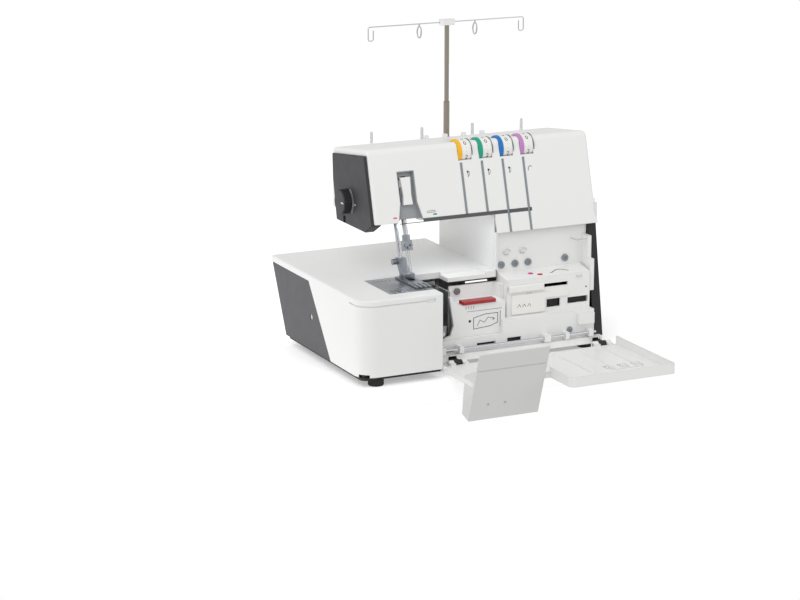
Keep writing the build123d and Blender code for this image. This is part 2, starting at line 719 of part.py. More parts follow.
with BuildPart() as handwheel:
    rod((width + 1, shaft_back, shaft_height), (width + 1 + wheel_width, shaft_back, shaft_height),
        wheel_radius)
    fillet(handwheel.edges().filter_by(GeomType.CIRCLE), 3.0)
    with BuildSketch(side(width + 4)):
        with Locations(section([(shaft_back, shaft_height)])[0]):
            with PolarLocations(wheel_radius + 0.6, 40):
                Circle(1.4)
    extrude(amount=wheel_width - 6, mode=Mode.SUBTRACT)
    with BuildSketch(side(width + 1 + wheel_width)):
        with Locations(section([(shaft_back, shaft_height)])[0]):
            Circle(wheel_radius - 8)
            Circle(9.0, mode=Mode.SUBTRACT)
    extrude(amount=-5, mode=Mode.SUBTRACT)
save(handwheel, "handwheel")

with BuildPart() as drive_pulley:
    rod((belt_across, shaft_back, shaft_height), (belt_across + belt_width, shaft_back, shaft_height),
        drive_pulley_radius)
    for start in (belt_across - 1.5, belt_across + belt_width):
        rod((start, shaft_back, shaft_height), (start + 1.5, shaft_back, shaft_height),
            drive_pulley_radius + belt_thickness)
    rod((belt_across - 2, shaft_back, shaft_height), (belt_across + 12, shaft_back, shaft_height),
        shaft_radius, Mode.SUBTRACT)
save(drive_pulley, "drive_pulley")

motor_shaft_radius = 3.0
motor_left, motor_right = 310.0, 374.0
with BuildPart() as motor_pulley:
    rod((belt_across, motor_back, motor_height), (belt_across + belt_width, motor_back, motor_height),
        motor_pulley_radius)
    rod((motor_right + gap, motor_back, motor_height), (belt_across, motor_back, motor_height),
        motor_shaft_radius)
save(motor_pulley, "motor_pulley")

with BuildPart() as motor:
    rod((motor_left, motor_back, motor_height), (motor_right, motor_back, motor_height), motor_radius)
    fillet(motor.edges().filter_by(GeomType.CIRCLE), 3.0)
    block((318, 368), (motor_back - 22, motor_back + 22), (frame_floor + 4, motor_height - 20))
save(motor, "motor")

with BuildPart() as drive_belt:
    with BuildSketch(side(belt_across)):
        with Locations(section([(shaft_back, shaft_height)])[0]):
            Circle(drive_pulley_radius + gap + belt_thickness)
        with Locations(section([(motor_back, motor_height)])[0]):
            Circle(motor_pulley_radius + gap + belt_thickness)
        make_hull()
    extrude(amount=belt_width)
    with BuildSketch(side(belt_across)):
        with Locations(section([(shaft_back, shaft_height)])[0]):
            Circle(drive_pulley_radius + gap)
        with Locations(section([(motor_back, motor_height)])[0]):
            Circle(motor_pulley_radius + gap)
        make_hull()
    extrude(amount=belt_width, mode=Mode.SUBTRACT)
save(drive_belt, "drive_belt")

# Spool stand: a tray behind the head with four pins and their discs
socket_radius = mast_lower_radius + 4
with BuildPart() as spool_tray:
    with BuildSketch(Plane.XY.offset(tray_height)):
        with Locations(plan([((spool_pins[0] + spool_pins[-1]) / 2, (head_back + tray_back) / 2)])[0]):
            Rectangle(spool_pins[-1] - spool_pins[0] + 2.6 * disc_radius, tray_back - head_back)
        fillet(vertices().sort_by(Axis.Y)[-2:], 12.0)
    extrude(amount=tray_thickness)
    rod((mast_across, spool_back, tray_height), (mast_across, spool_back, tray_height + 24), socket_radius)
    rod((mast_across, spool_back, tray_height + 4), (mast_across, spool_back, tray_height + 25),
        mast_lower_radius, Mode.SUBTRACT)
    for place in spool_pins:
        rod((place, spool_back, tray_height), (place, spool_back, tray_height + 8), pin_shank_radius,
            Mode.SUBTRACT)
save(spool_tray, "spool_tray")

disc_top = tray_height + tray_thickness + disc_thickness
with BuildPart() as spool_pin_set:
    for place in spool_pins:
        rod((place, spool_back, tray_height), (place, spool_back, disc_top), pin_shank_radius)
        rod((place, spool_back, disc_top), (place, spool_back, disc_top + pin_neck), spool_pin_radius - 0.3)
        rod((place, spool_back, disc_top + pin_neck), (place, spool_back, spool_pin_top), spool_pin_radius)
    chamfer(spool_pin_set.faces().sort_by(Axis.Z)[-4:].edges(), 1.0)
save(spool_pin_set, "spool_pins")

with BuildPart() as spool_discs:
    for place in spool_pins:
        rod((place, spool_back, tray_height + tray_thickness),
            (place, spool_back, tray_height + tray_thickness + disc_thickness), disc_radius)
        rod((place, spool_back, tray_height), (place, spool_back, tray_height + 12), pin_shank_radius,
            Mode.SUBTRACT)
save(spool_discs, "spool_discs")

mast_overlap = 28.0
with BuildPart() as mast_lower:
    rod((mast_across, spool_back, tray_height + 4), (mast_across, spool_back, mast_step), mast_lower_radius)
    rod((mast_across, spool_back, tray_height + 5), (mast_across, spool_back, mast_step + 1),
        mast_upper_radius + running, Mode.SUBTRACT)
save(mast_lower, "mast_lower_tube")

with BuildPart() as mast_upper:
    rod((mast_across, spool_back, mast_step - mast_overlap), (mast_across, spool_back, mast_top),
        mast_upper_radius)
save(mast_upper, "mast_upper_tube")

hub_length, hub_height, hub_depth = 23.0, 8.0, 12.0
with BuildPart() as mast_hub:
    block((mast_across - hub_length / 2, mast_across + hub_length / 2),
          (spool_back - hub_depth / 2, spool_back + hub_depth / 2),
          (wire_height - hub_height / 2, wire_height + hub_height / 2))
    fillet(mast_hub.edges().filter_by(Axis.Z), 4.0)
    rod((mast_across, spool_back, wire_height - 6), (mast_across, spool_back, mast_top + gap),
        mast_upper_radius + running, Mode.SUBTRACT)
    rod((mast_across - hub_length, spool_back, wire_height), (mast_across + hub_length, spool_back, wire_height),
        wire_radius, Mode.SUBTRACT)
save(mast_hub, "mast_hub")

wire_half = 125.5
eye_width, eye_height, eye_corner = 8.0, 20.0, 3.0
with BuildPart() as guide_wire:
    with BuildLine(Plane.XZ.offset(-back(spool_back))) as wire_path:
        left, right = across(mast_across - wire_half), across(mast_across + wire_half)
        low = wire_height - eye_height
        FilletPolyline((left + eye_width, wire_height - 5), (left + eye_width, low), (left, low),
                       (left, wire_height), (right, wire_height), (right, low), (right - eye_width, low),
                       (right - eye_width, wire_height - 5), radius=eye_corner)
    with BuildSketch(Plane(origin=wire_path.line @ 0, z_dir=wire_path.line % 0)):
        Circle(wire_radius)
    sweep()
    for shift in (-44.5, 45.5):
        middle = across(mast_across + shift)
        with BuildSketch(Plane.XZ.offset(-back(spool_back) + wire_radius)):
            with Locations((middle, wire_height - 12)):
                Ellipse(4.0, 9.0)
                Ellipse(4.0 - 2 * wire_radius, 9.0 - 2 * wire_radius, mode=Mode.SUBTRACT)
            with Locations((middle, wire_height - 2)):
                Rectangle(2 * wire_radius, 4.0)
        extrude(amount=-2 * wire_radius)
save(guide_wire, "thread_guide_wire")

guide_places = [206.0, 236.0, 266.0, 296.0]
with BuildPart() as top_thread_guides:
    for place in guide_places:
        block((place - 3, place + 3), (head_back - 14, head_back - 8), (head_back_top - 3, head_back_top + 6))
    with BuildSketch(side(0)):
        with BuildLine():
            Polyline(*section([(head_back, head_back_top), (face_back(head_front_top), head_front_top),
                               (face_back(head_front_top), 200), (head_back, 200)]), close=True)
        make_face()
    extrude(amount=width, mode=Mode.SUBTRACT)
save(top_thread_guides, "top_thread_guides")

# Needle bar, clamp and needles on the leaning needle line
with BuildPart() as needle_bar:
    rod((needle_across, *along_bar(clamp_high - 6)), (needle_across, *along_bar(bar_top)), needle_bar_radius)
save(needle_bar, "needle_bar")

bar_axis = Plane(
    origin=(across(needle_across), back(needle_tip[0]), needle_tip[1]),
    x_dir=(1, 0, 0),
    z_dir=(0, sin(radians(front_lean)), cos(radians(front_lean))),
)
needle_lines = [needle_pitch * n for n in (-1, 0, 1)]
with BuildPart() as needle_clamp:
    with BuildSketch(bar_axis.offset(clamp_low)):
        Rectangle(13.0, 9.0)
        with Locations(*[(n, 0) for n in needle_lines]):
            Circle(needle_radius, mode=Mode.SUBTRACT)
    extrude(amount=14.0)
    with BuildSketch(bar_axis.offset(clamp_low + 14.0)):
        Circle(needle_bar_radius + 2.0)
    extrude(amount=clamp_high - clamp_low - 14.0)
    for n in (-1, 0, 1):
        with Locations(Plane(origin=bar_axis.offset(clamp_low + 4 + 3 * abs(n)).origin
                             + Vector(needle_pitch * n * 1.5, 0, 0) + Vector(*front_normal) * 4.5,
                             z_dir=front_normal)):
            Cylinder(1.8, 3.0, align=(Align.CENTER, Align.CENTER, Align.MIN))
    rod((needle_across, *along_bar(clamp_high - 6)), (needle_across, *along_bar(bar_top)),
        needle_bar_radius, Mode.SUBTRACT)
save(needle_clamp, "needle_clamp")

with BuildPart() as needles:
    for n in needle_lines:
        with Locations(Plane(origin=bar_axis.origin + Vector(n, 0, 0), z_dir=bar_axis.z_dir)):
            Cone(0.15, needle_radius, 6.0, align=(Align.CENTER, Align.CENTER, Align.MIN))
        with Locations(Plane(origin=bar_axis.offset(6.0).origin + Vector(n, 0, 0), z_dir=bar_axis.z_dir)):
            Cylinder(needle_radius, clamp_low + 4, align=(Align.CENTER, Align.CENTER, Align.MIN))
save(needles, "needles")

# Presser bar, foot and lever
foot_holder = along_bar(20.0, presser_offset)
with BuildPart() as presser_bar:
    rod((presser_across, *along_bar(14.0, presser_offset)), (presser_across, *along_bar(bar_top, presser_offset)),
        presser_bar_radius)
save(presser_bar, "presser_bar")

toe_front, sole_back = 36.0, 104.0
sole_up = bed_top + 0.4
sole_left, sole_right = 100.0, 123.0
with BuildPart() as presser_foot:
    block((sole_left, sole_right), (toe_front, sole_back), (sole_up, sole_up + 2.2))
    for shift in (-7.0, 0.0, 7.0):
        block(((sole_left + sole_right) / 2 + shift - 1, (sole_left + sole_right) / 2 + shift + 1),
              (toe_front - 1, 56), (sole_up - 1, sole_up + 4), Mode.SUBTRACT)
    block((needle_across - 5, needle_across + 5), (needle_tip[0] - 10, needle_tip[0] + 5),
          (sole_up - 1, sole_up + 4), Mode.SUBTRACT)
    block((105, 121), (84, 100), (sole_up, sole_up + 9))
    rod((103, 92, sole_up + 5.5), (122.5, 92, sole_up + 5.5), 1.6)
    with BuildSketch(side(104.5)):
        with BuildLine():
            Polyline(*section([(87, sole_up + 7), (99, sole_up + 7), (foot_holder[0] + 5, foot_holder[1] + 4),
                               (foot_holder[0] - 6, foot_holder[1] + 4)]), close=True)
        make_face()
    extrude(amount=12)
    rod((98, foot_holder[0], foot_holder[1] - 1), (105, foot_holder[0], foot_holder[1] - 1), 4.2)
    rod((presser_across, *along_bar(14.0, presser_offset)), (presser_across, *along_bar(bar_top, presser_offset)),
        presser_bar_radius, Mode.SUBTRACT)
save(presser_foot, "presser_foot")

with BuildPart() as bar_bushes:
    for a, behind, radius in bars:
        rod((a, *along_bar(guide_low, behind)), (a, *along_bar(guide_high, behind)), radius + bush_wall)
        rod((a, *along_bar(guide_low - 1, behind)), (a, *along_bar(guide_high + 1, behind)),
            radius + running, Mode.SUBTRACT)
save(bar_bushes, "bar_bushes")

with BuildPart() as presser_lever:
    with BuildSketch(side(presser_across - 4)):
        with BuildLine():
            Polyline(*section([(lever_pivot[0] - 6, lever_pivot[1] + 6), (lever_pivot[0] + 6, lever_pivot[1] + 6),
                               (head_back + 22, 216), (head_back + 24, 209), (head_back + 18, 208),
                               (lever_pivot[0] - 6, lever_pivot[1] - 6)]), close=True)
        make_face()
    extrude(amount=8)
    rod((presser_across - 5, *lever_pivot), (presser_across + 5, *lever_pivot), 3 + running, Mode.SUBTRACT)
save(presser_lever, "presser_lever")

lamp_places = [(150.0, 100.0), (200.0, 98.0)]
with BuildPart() as lamp_lenses:
    for a, b in lamp_places:
        rod((a, b, arm_bottom - 1.2), (a, b, arm_bottom), 7.0)
save(lamp_lenses, "lamp_lenses")

# Looper bay: the mechanism frame in the opening, the looper and its shaft
looper_pivot = (148.0, 48.0)  # across, up
looper_shaft_radius = 4.0
frame_right = 164.0
with BuildPart() as looper_frame:
    block((bed_width + 2, frame_right), (50, opening_back - gap), (frame_floor + 4, frame_floor + 8))
    block((bed_width + 2, frame_right), (opening_back - 3, opening_back - gap), (frame_floor + 4, bed_top - 12))
    block((frame_right - 3, frame_right), (60, opening_back - gap), (frame_floor + 4, bed_top - 16))
    with BuildSketch(Plane.XZ.offset(-back(94))):
        with BuildLine():
            Polyline((across(140), 62), (across(frame_right), 62), (across(frame_right), 104),
                     (across(158), 104), close=True)
        make_face()
    extrude(amount=4)
    for b in (58.0, 86.0):
        block((looper_pivot[0] - 10, looper_pivot[0] + 10), (b, b + 6), (frame_floor + 4, looper_pivot[1] + 9))
        rod((looper_pivot[0], b - 1, looper_pivot[1]), (looper_pivot[0], b + 7, looper_pivot[1]),
            looper_shaft_radius + running, Mode.SUBTRACT)
save(looper_frame, "looper_frame")

with BuildPart() as looper:
    rod((looper_pivot[0], 50, looper_pivot[1]), (looper_pivot[0], 94, looper_pivot[1]), looper_shaft_radius)
    rod((looper_pivot[0], 73, looper_pivot[1]), (looper_pivot[0], 85, looper_pivot[1]), 8.5)
    with BuildSketch(Plane.XZ.offset(-back(82))):
        with BuildLine():
            Polyline(*[(across(a), z) for a, z in
                       [(143, 52), (146, 96), (121, 106), (120, 108), (123, 109), (152, 103), (154, 52)]],
                     close=True)
        make_face()
    extrude(amount=5)
save(looper, "looper")

# Looper panel: the white moulding behind the door, with its shelf, steps, lugs and side wall
slide_slot = (251.0 + wall, 350.0)
panel_left = 138.0
chart_left, chart_right = 176.0, 246.0
chart_face, chart_top = 50.0, 86.0
low_face, low_top = 43.0, 60.0
shelf_left, shelf_right = 252.0, 386.0
shelf_face, shelf_top, shelf_rear_top = 57.0, 112.0, 118.0
panel_bottom = cover_bottom + base_floor + gap
rod_back, rod_height, rod_radius = 35.0, 28.0, 2.4
knuckles = [(136, 144), (165, 172), (300, 310), (334, 340), (372, 379)]
left_wall_top = 105.0
apron_back, apron_top = bay_front - 2.6, 21.0
with BuildPart() as looper_panel:
    block((column_left + gap, column_right - gap), (bay_wall, bay_wall + panel_wall),
          (bed_top + gap, skirt_bottom))
    block((column_left + gap, column_left + panel_wall), (shelf_front, bay_wall + 1),
          (bed_top + gap, skirt_bottom - gap))
    block((chart_left, column_right - gap), (bay_wall, bay_wall + panel_wall), (panel_bottom, left_wall_top))
    block((shelf_left, column_right - gap), (bay_wall, bay_wall + panel_wall),
          (left_wall_top - 1, bed_top + 1))
    block((chart_left, chart_right), (chart_face, bay_wall + 1), (panel_bottom, chart_top))
    with BuildSketch(Plane.XZ.offset(-back(chart_face))):
        with BuildLine():
            Polyline(*[(across(a), z) for a, z in
                       [(chart_left, chart_top), (168, chart_top + 4), (162, 100), (158, 100), (165, 58),
                        (160, 44), (panel_left, 38), (panel_left, panel_bottom + 12),
                        (chart_left, panel_bottom + 12)]], close=True)
        make_face()
    extrude(amount=-4)
    block((panel_left - 2, shelf_right), (low_face, chart_face - gap), (panel_bottom, low_top - 20))
    block((chart_right - 8, shelf_right), (low_face, bay_wall + 1), (panel_bottom, low_top))
    with BuildSketch(side(shelf_left)):
        with BuildLine():
            Polyline(*section([(shelf_face, low_top), (shelf_face, shelf_top), (bay_wall, shelf_rear_top),
                               (bay_wall, low_top)]), close=True)
        make_face()
    extrude(amount=shelf_right - shelf_left)
    block((chart_right, shelf_left), (shelf_face + 10, bay_wall + 1), (low_top, left_wall_top))
    block((chart_left + panel_wall, chart_right - panel_wall), (chart_face + panel_wall, bay_wall + 4),
          (panel_bottom - 1, chart_top - panel_wall), Mode.SUBTRACT)
    block((chart_right + panel_wall, shelf_right - panel_wall), (low_face + panel_wall, bay_wall + 4),
          (panel_bottom - 1, low_top - panel_wall), Mode.SUBTRACT)
    block((shelf_left + panel_wall, shelf_right - panel_wall), (shelf_face + panel_wall, bay_wall + 4),
          (low_top - panel_wall - 1, shelf_top - panel_wall), Mode.SUBTRACT)
    block((column_right - 7, column_right - gap), (62, bay_wall + panel_wall), (82, 128))
    block((column_right - 7, column_right - gap), (71, bay_wall + panel_wall), (127, 160))
    block((shelf_right - 1, column_right - gap), (66, bay_wall + panel_wall), (panel_bottom + 8, 52))
    block(slide_slot, (shelf_face - 1, shelf_face + 5), (96, 101), Mode.SUBTRACT)
    block((316, 338), (shelf_face - 1, shelf_face + 6), (66, 78), Mode.SUBTRACT)
    block((350, 383), (shelf_face - 1, shelf_face + 6), (68, 77), Mode.SUBTRACT)
    block((198, 228), (low_face - 1, low_face + 5), (24, 31), Mode.SUBTRACT)
    block((246, 268), (low_face - 1, low_face + 5), (26, 33), Mode.SUBTRACT)
    block((358, 384), (low_face - 5, low_face + 1), (40, 56))
    block((panel_left, column_right - gap), (apron_back, low_face + 1), (panel_bottom, apron_top))
    block((panel_left, column_right - gap), (apron_back, apron_back + 2.2), (foot_height + 1, apron_top))
    for start, end in hinge_blocks:
        block((start - gap, end + gap), (apron_back - 1, apron_back + 3), (foot_height, cover_bottom + 5),
              Mode.SUBTRACT)
    for start, end in knuckles:
        block((start, end), (rod_back - 4, low_face + 1), (rod_height - 5, rod_height + 5))
        rod((start - 1, rod_back, rod_height), (end + 1, rod_back, rod_height), rod_radius, Mode.SUBTRACT)
save(looper_panel, "looper_panel")

plate_depth = 2.5
with BuildPart() as looper_guide_plate:
    block((259, 312), (shelf_face - plate_depth, shelf_face), (low_top + 2, 88))
    block((259, 350), (shelf_face - plate_depth, shelf_face), (81, 90))
    chamfer(looper_guide_plate.edges().filter_by(Axis.Y), 1.0)
save(looper_guide_plate, "looper_guide_plate")

wall_screws = [(258.0, 128.0), (280.0, 128.0), (301.0, 128.0), (361.0, 128.0)]
with BuildPart() as panel_screws:
    for a, z in wall_screws:
        rod((a, bay_wall - 2.2, z), (a, bay_wall, z), 5.2)
        rod((a, bay_wall - 3, z), (a, bay_wall - 1.4, z), 2.4, Mode.SUBTRACT)
    rod((188, bay_wall - 1.8, 97), (188, bay_wall, 97), 5.0)
    rod((346, low_face - 1.6, 34), (346, low_face, 34), 4.2)
    for a in (plate_left + 10, bed_width - 12):
        rod((a, plate_front + 4, bed_top), (a, plate_front + 4, bed_top + 0.6), 2.4)
save(panel_screws, "cover_screws")

with BuildPart() as looper_select_lever:
    block((179, 230), (chart_face - 3, chart_face + 12), (chart_top + gap, chart_top + 5))
    fillet(looper_select_lever.faces().sort_by(Axis.Y)[0].edges(), 1.2)
save(looper_select_lever, "looper_select_lever")

with BuildPart() as looper_slide:
    block((slide_slot[0] + gap, slide_slot[0] + 57), (shelf_face - 4, shelf_face - gap), (93.5, 103.5))
    chamfer(looper_slide.faces().sort_by(Axis.Y)[0].edges(), 1.2)
    block((slide_slot[0] + 2, slide_slot[0] + 50), (shelf_face - 1, shelf_face + 4.5), (96 + gap, 101 - gap))
save(looper_slide, "looper_thread_slide")

with BuildPart() as thread_hook:
    with BuildLine(Plane.XY.offset(156)) as hook_path:
        FilletPolyline(*plan([(column_right - 7, 72), (371, 72), (371, bay_wall)]), radius=2.0)
    with BuildSketch(Plane(origin=hook_path.line @ 0, z_dir=hook_path.line % 0)):
        Circle(0.7)
    sweep()
save(thread_hook, "looper_thread_hook")

# Door: a shallow tray hinged low in the bay; the cloth plate on its left part is the bed when shut
with BuildPart() as link_rod:
    rod((panel_left - 4, rod_back, rod_height), (shelf_right - 2, rod_back, rod_height), rod_radius)
save(link_rod, "door_link_rod")

with BuildPart() as door_hinge_pins:
    for start, end in hinge_blocks:
        rod((start - 8, hinge_back, hinge_height), (end + 8, hinge_back, hinge_height), hinge_radius)
save(door_hinge_pins, "door_hinge_pins")

hinge_origin = (0, back(hinge_back), hinge_height)
door_plane = Plane(origin=hinge_origin, x_dir=(1, 0, 0),
                   z_dir=tuple(-n for n in door_direction(door_lean + 90)))
shut_side = Plane(origin=hinge_origin, x_dir=door_direction(90), z_dir=(1, 0, 0))


def door_box(a_range, reach_range, in_range, mode=Mode.ADD):
    """Adds a box on the door between two distances across, two from the hinge and two inwards."""
    (a0, a1), (r0, r1), (n0, n1) = a_range, reach_range, in_range
    middle = door_plane.from_local_coords(
        (across((a0 + a1) / 2), (r0 + r1) / 2, -(n0 + n1) / 2)
    )
    with Locations(Plane(origin=middle, x_dir=door_plane.x_dir, z_dir=door_plane.z_dir)):
        Box(a1 - a0, r1 - r0, n1 - n0, mode=mode)


def shut_points(points):
    """Turns (back, up) pairs of the shut door into points of the plane that turns with it."""
    return [(b - hinge_back, up - hinge_height) for b, up in points]


reach_start = hinge_radius + 3.2
with BuildPart() as looper_door:
    door_box((door_left, tray_left + 1), (reach_start, left_reach), (-door_drop, left_rim_height - door_drop))
    door_box((tray_left, door_right), (reach_start, right_reach), (-door_drop, rim_height - door_drop))
    corners = looper_door.edges().filter_by(Axis.Z).group_by(Axis.Y)[0]
    fillet(corners, 8.0)
    door_box((tray_left + door_skin, door_right - door_skin), (reach_start - 1, right_reach - door_skin),
             (-door_drop + door_skin, rim_height), Mode.SUBTRACT)
    door_box((door_left + door_skin, tray_left + 2 * door_skin), (reach_start - 1, left_reach - door_skin),
             (-door_drop + door_skin, rim_height), Mode.SUBTRACT)
    for start, end in hinge_blocks:
        for ear in ((start - 8, start - gap), (end + gap, end + 8)):
            door_box(ear, (0, reach_start + 4), (-hinge_radius, hinge_radius))
            rod((ear[0], hinge_back, hinge_height), (ear[1], hinge_back, hinge_height), hinge_radius + 2.5)
            rod((ear[0] - 1, hinge_back, hinge_height), (ear[1] + 1, hinge_back, hinge_height),
                hinge_radius + running, Mode.SUBTRACT)
        door_box((start - gap, end + gap), (-8, 6.5), (-8, 8), Mode.SUBTRACT)
save(looper_door, "looper_door")

plate_join = hinge_back + (bed_top - hinge_height) * tan(radians(door_lean))
plate_skin = 3.0
with BuildPart() as cloth_plate:
    with BuildSketch(shut_side.offset(across(door_left))):
        with BuildLine():
            Polyline(*shut_points([(0, bed_top - cloth_front_depth), (0, bed_top), (cloth_back, bed_top),
                                   (cloth_back, bed_top - tongue_thickness),
                                   (tongue_front, bed_top - tongue_thickness),
                                   (plate_join, bed_top - 30)]), close=True)
        make_face()
    extrude(amount=cloth_right - door_left)
    with BuildSketch(shut_side.offset(across(door_left + door_skin))):
        with BuildLine():
            Polyline(*shut_points([(door_skin, bed_top - 50), (door_skin, bed_top - plate_skin),
                                   (tongue_front, bed_top - plate_skin), (tongue_front, bed_top - 50)]),
                     close=True)
        make_face()
    extrude(amount=cloth_right - door_left - 2 * door_skin, mode=Mode.SUBTRACT)
    with BuildSketch(shut_side.offset(across(door_left - 1))):
        with Locations(shut_points([(tongue_front, bed_top)])[0]):
            Rectangle(1.6, 1.6)
    extrude(amount=cloth_right - door_left + 2, mode=Mode.SUBTRACT)
    for a in (150.0, 176.0):
        start = shut_side.from_local_coords((*shut_points([(24, bed_top)])[0], across(a)))
        with Locations(Plane(origin=start, z_dir=door_direction(0))):
            Cylinder(2.0, 3.0, mode=Mode.SUBTRACT)
    door_box((door_left - 1, cloth_right + 1), (reach_start, left_reach + 0.1),
             (-door_drop, left_rim_height - door_drop), Mode.SUBTRACT)
save(cloth_plate, "cloth_plate")
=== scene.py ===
"""Coverlock sewing machine, finished: surfaces, printed marks, screws, lamps and the table it stands on.

Lengths in the tables are millimetres across from the bed's left side, back from its front and up from the
table, as on a maker's drawing; place() turns them into metres in the machine's own frame.
"""

from math import cos, pi, radians, sin

import bmesh
import bpy
from bpy.props import FloatProperty, FloatVectorProperty, IntProperty, PointerProperty
from mathutils import Matrix, Vector


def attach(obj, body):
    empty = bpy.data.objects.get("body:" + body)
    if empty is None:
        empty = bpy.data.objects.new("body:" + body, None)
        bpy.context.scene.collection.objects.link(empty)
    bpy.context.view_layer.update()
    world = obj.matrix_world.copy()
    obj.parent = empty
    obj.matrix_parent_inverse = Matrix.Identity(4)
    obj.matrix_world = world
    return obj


bl_info = {
    "name": "Coverlock sewing machine",
    "version": (1, 0, 0),
    "blender": (4, 5, 0),
    "location": "3D View > Sidebar > Coverlock",
    "description": "Builds the finishes, marks and small fittings of a coverlock sewing machine",
    "category": "Object",
}

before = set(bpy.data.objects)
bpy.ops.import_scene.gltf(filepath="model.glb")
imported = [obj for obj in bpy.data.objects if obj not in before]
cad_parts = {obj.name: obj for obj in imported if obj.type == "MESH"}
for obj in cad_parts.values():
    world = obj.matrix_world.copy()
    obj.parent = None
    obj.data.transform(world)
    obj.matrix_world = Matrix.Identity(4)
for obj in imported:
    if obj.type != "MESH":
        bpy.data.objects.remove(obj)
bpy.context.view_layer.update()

ACROSS, BACK = 28.0, 14.0  # where the frame's origin, the front left foot, lies on the drawing
LEAN = radians(16)  # the head's front and the needle line lean back by this
SKIRT = 176.0  # height of the head front's lower edge
DIAL_WIDTH, DIAL_RADIUS = 6.55, 17.0  # a dial's coloured rim, and the drum beside it
KNOB = (-173, 222)  # the pressure knob's middle on the end panel


def linear(code):
    """An sRGB hex colour as linear RGB."""
    parts = [int(code[i:i + 2], 16) / 255 for i in (1, 3, 5)]
    return tuple(c / 12.92 if c <= 0.04045 else ((c + 0.055) / 1.055) ** 2.4 for c in parts)


def place(across, back, up):
    """A drawing position in metres in the machine's frame."""
    return Vector((across - ACROSS, back - BACK, up)) / 1000


DIAL_AXLE = place(0, 127, 288)


class Face:
    """A flat face that marks are laid on: corner, the way its two measures run, and its normal."""

    def __init__(self, corner, right, upward):
        self.corner, self.right, self.upward = Vector(corner), Vector(right), Vector(upward)
        self.normal = self.right.cross(self.upward)

    def at(self, x, y, lift=0.0):
        return self.corner + (self.right * x + self.upward * y + self.normal * lift) / 1000


def up_face(height):
    """A height as a distance up the leaning front."""
    return (height - SKIRT) / cos(LEAN)


FRONT = Face(place(0, 79, SKIRT), (1, 0, 0), (0, sin(LEAN), cos(LEAN)))  # across, up_face(height)
END = Face(place(58, 0, 0), (0, -1, 0), (0, 0, 1))  # minus the distance back, up
CHART = Face(place(0, 50, 0), (1, 0, 0), (0, 0, 1))  # across, up
LOW = Face(place(0, 43, 0), (1, 0, 0), (0, 0, 1))
SHELF = Face(place(0, 57, 0), (1, 0, 0), (0, 0, 1))
GUIDE = Face(place(0, 54.5, 0), (1, 0, 0), (0, 0, 1))
SHELF_TOP = Face(place(0, 57, 112), (1, 0, 0), Vector((0, 30, 6)).normalized())  # across, back from its edge
WALL = Face(place(0, 87, 0), (1, 0, 0), (0, 0, 1))
TRAY = Face(place(0, 0, 12.5), (1, 0, 0), (0, 1, 0))  # across, back, on the open door's inside


# Finishes


def add(tree, kind, inputs=None, **settings):
    """Adds a node with its settings, and sets or links its inputs."""
    made = tree.nodes.new(kind)
    for key, value in settings.items():
        setattr(made, key, value)
    for key, value in (inputs or {}).items():
        if isinstance(value, bpy.types.NodeSocket):
            tree.links.new(value, made.inputs[key])
        else:
            made.inputs[key].default_value = value
    return made


def shades(tree, colour, spread, scale, stretch=(1, 1, 1)):
    """A colour that drifts by a few hundredths over the piece, on Object coordinates in metres."""
    where = add(tree, "ShaderNodeTexCoord")
    turned = add(tree, "ShaderNodeMapping", {"Vector": where.outputs["Object"], "Scale": stretch})
    cloud = add(tree, "ShaderNodeTexNoise", {"Vector": turned.outputs[0], "Scale": scale, "Detail": 4.0})
    dark = tuple(c * (1 - spread) for c in colour) + (1,)
    light = tuple(min(1, c * (1 + spread)) for c in colour) + (1,)
    mix = add(tree, "ShaderNodeMix", {"Factor": cloud.outputs["Fac"], 6: dark, 7: light}, data_type="RGBA")
    return turned.outputs[0], mix.outputs[2]


def surface(name, colour, roughness, metallic=0.0, grain=0.5, depth=0.02, spread=0.03, stretch=(1, 1, 1),
            edge=0.7, sockets=None):
    """A finish: a tooled texture of one grain size in mm, with edges as softly rounded as the tool leaves."""
    made = bpy.data.materials.new(name)
    made.use_nodes = True
    tree = made.node_tree
    shader = tree.nodes["Principled BSDF"]
    where, tint = shades(tree, colour, spread, 14.0, stretch)
    tree.links.new(tint, shader.inputs["Base Color"])
    pits = add(tree, "ShaderNodeTexNoise", {"Vector": where, "Scale": 1000 / grain, "Detail": 2.0})
    smear = add(tree, "ShaderNodeTexNoise", {"Vector": where, "Scale": 60.0, "Detail": 5.0})
    rough = add(tree, "ShaderNodeMapRange", {"Value": smear.outputs["Fac"], "To Min": roughness * 0.85,
                                             "To Max": min(1.0, roughness * 1.15)})
    tree.links.new(rough.outputs[0], shader.inputs["Roughness"])
    rounded = add(tree, "ShaderNodeBevel", {"Radius": edge / 1000}, samples=4)
    bump = add(tree, "ShaderNodeBump", {"Height": pits.outputs["Fac"], "Strength": 0.35,
                                        "Distance": depth / 1000, "Normal": rounded.outputs[0]})
    tree.links.new(bump.outputs[0], shader.inputs["Normal"])
    shader.inputs["Metallic"].default_value = metallic
    for key, value in (sockets or {}).items():
        shader.inputs[key].default_value = value
    return made


def two_colour_dial(name, colour, start):
    """A moulded dial in two shots: the coloured rim, and the white drum with its numbers beside it."""
    made = surface(name, colour, 0.32, spread=0.02)
    tree = made.node_tree
    shader = tree.nodes["Principled BSDF"]
    tint = shader.inputs["Base Color"].links[0].from_socket
    where = add(tree, "ShaderNodeTexCoord")
    split = add(tree, "ShaderNodeSeparateXYZ", {"Vector": where.outputs["Object"]})
    edge = add(tree, "ShaderNodeMath", {0: split.outputs["X"], 1: place(start + DIAL_WIDTH, 0, 0).x},
               operation="GREATER_THAN")
    mix = add(tree, "ShaderNodeMix", {"Factor": edge.outputs[0], 6: tint, 7: linear("#F2F1EE") + (1,)},
              data_type="RGBA")
    tree.links.new(mix.outputs[2], shader.inputs["Base Color"])
    return made


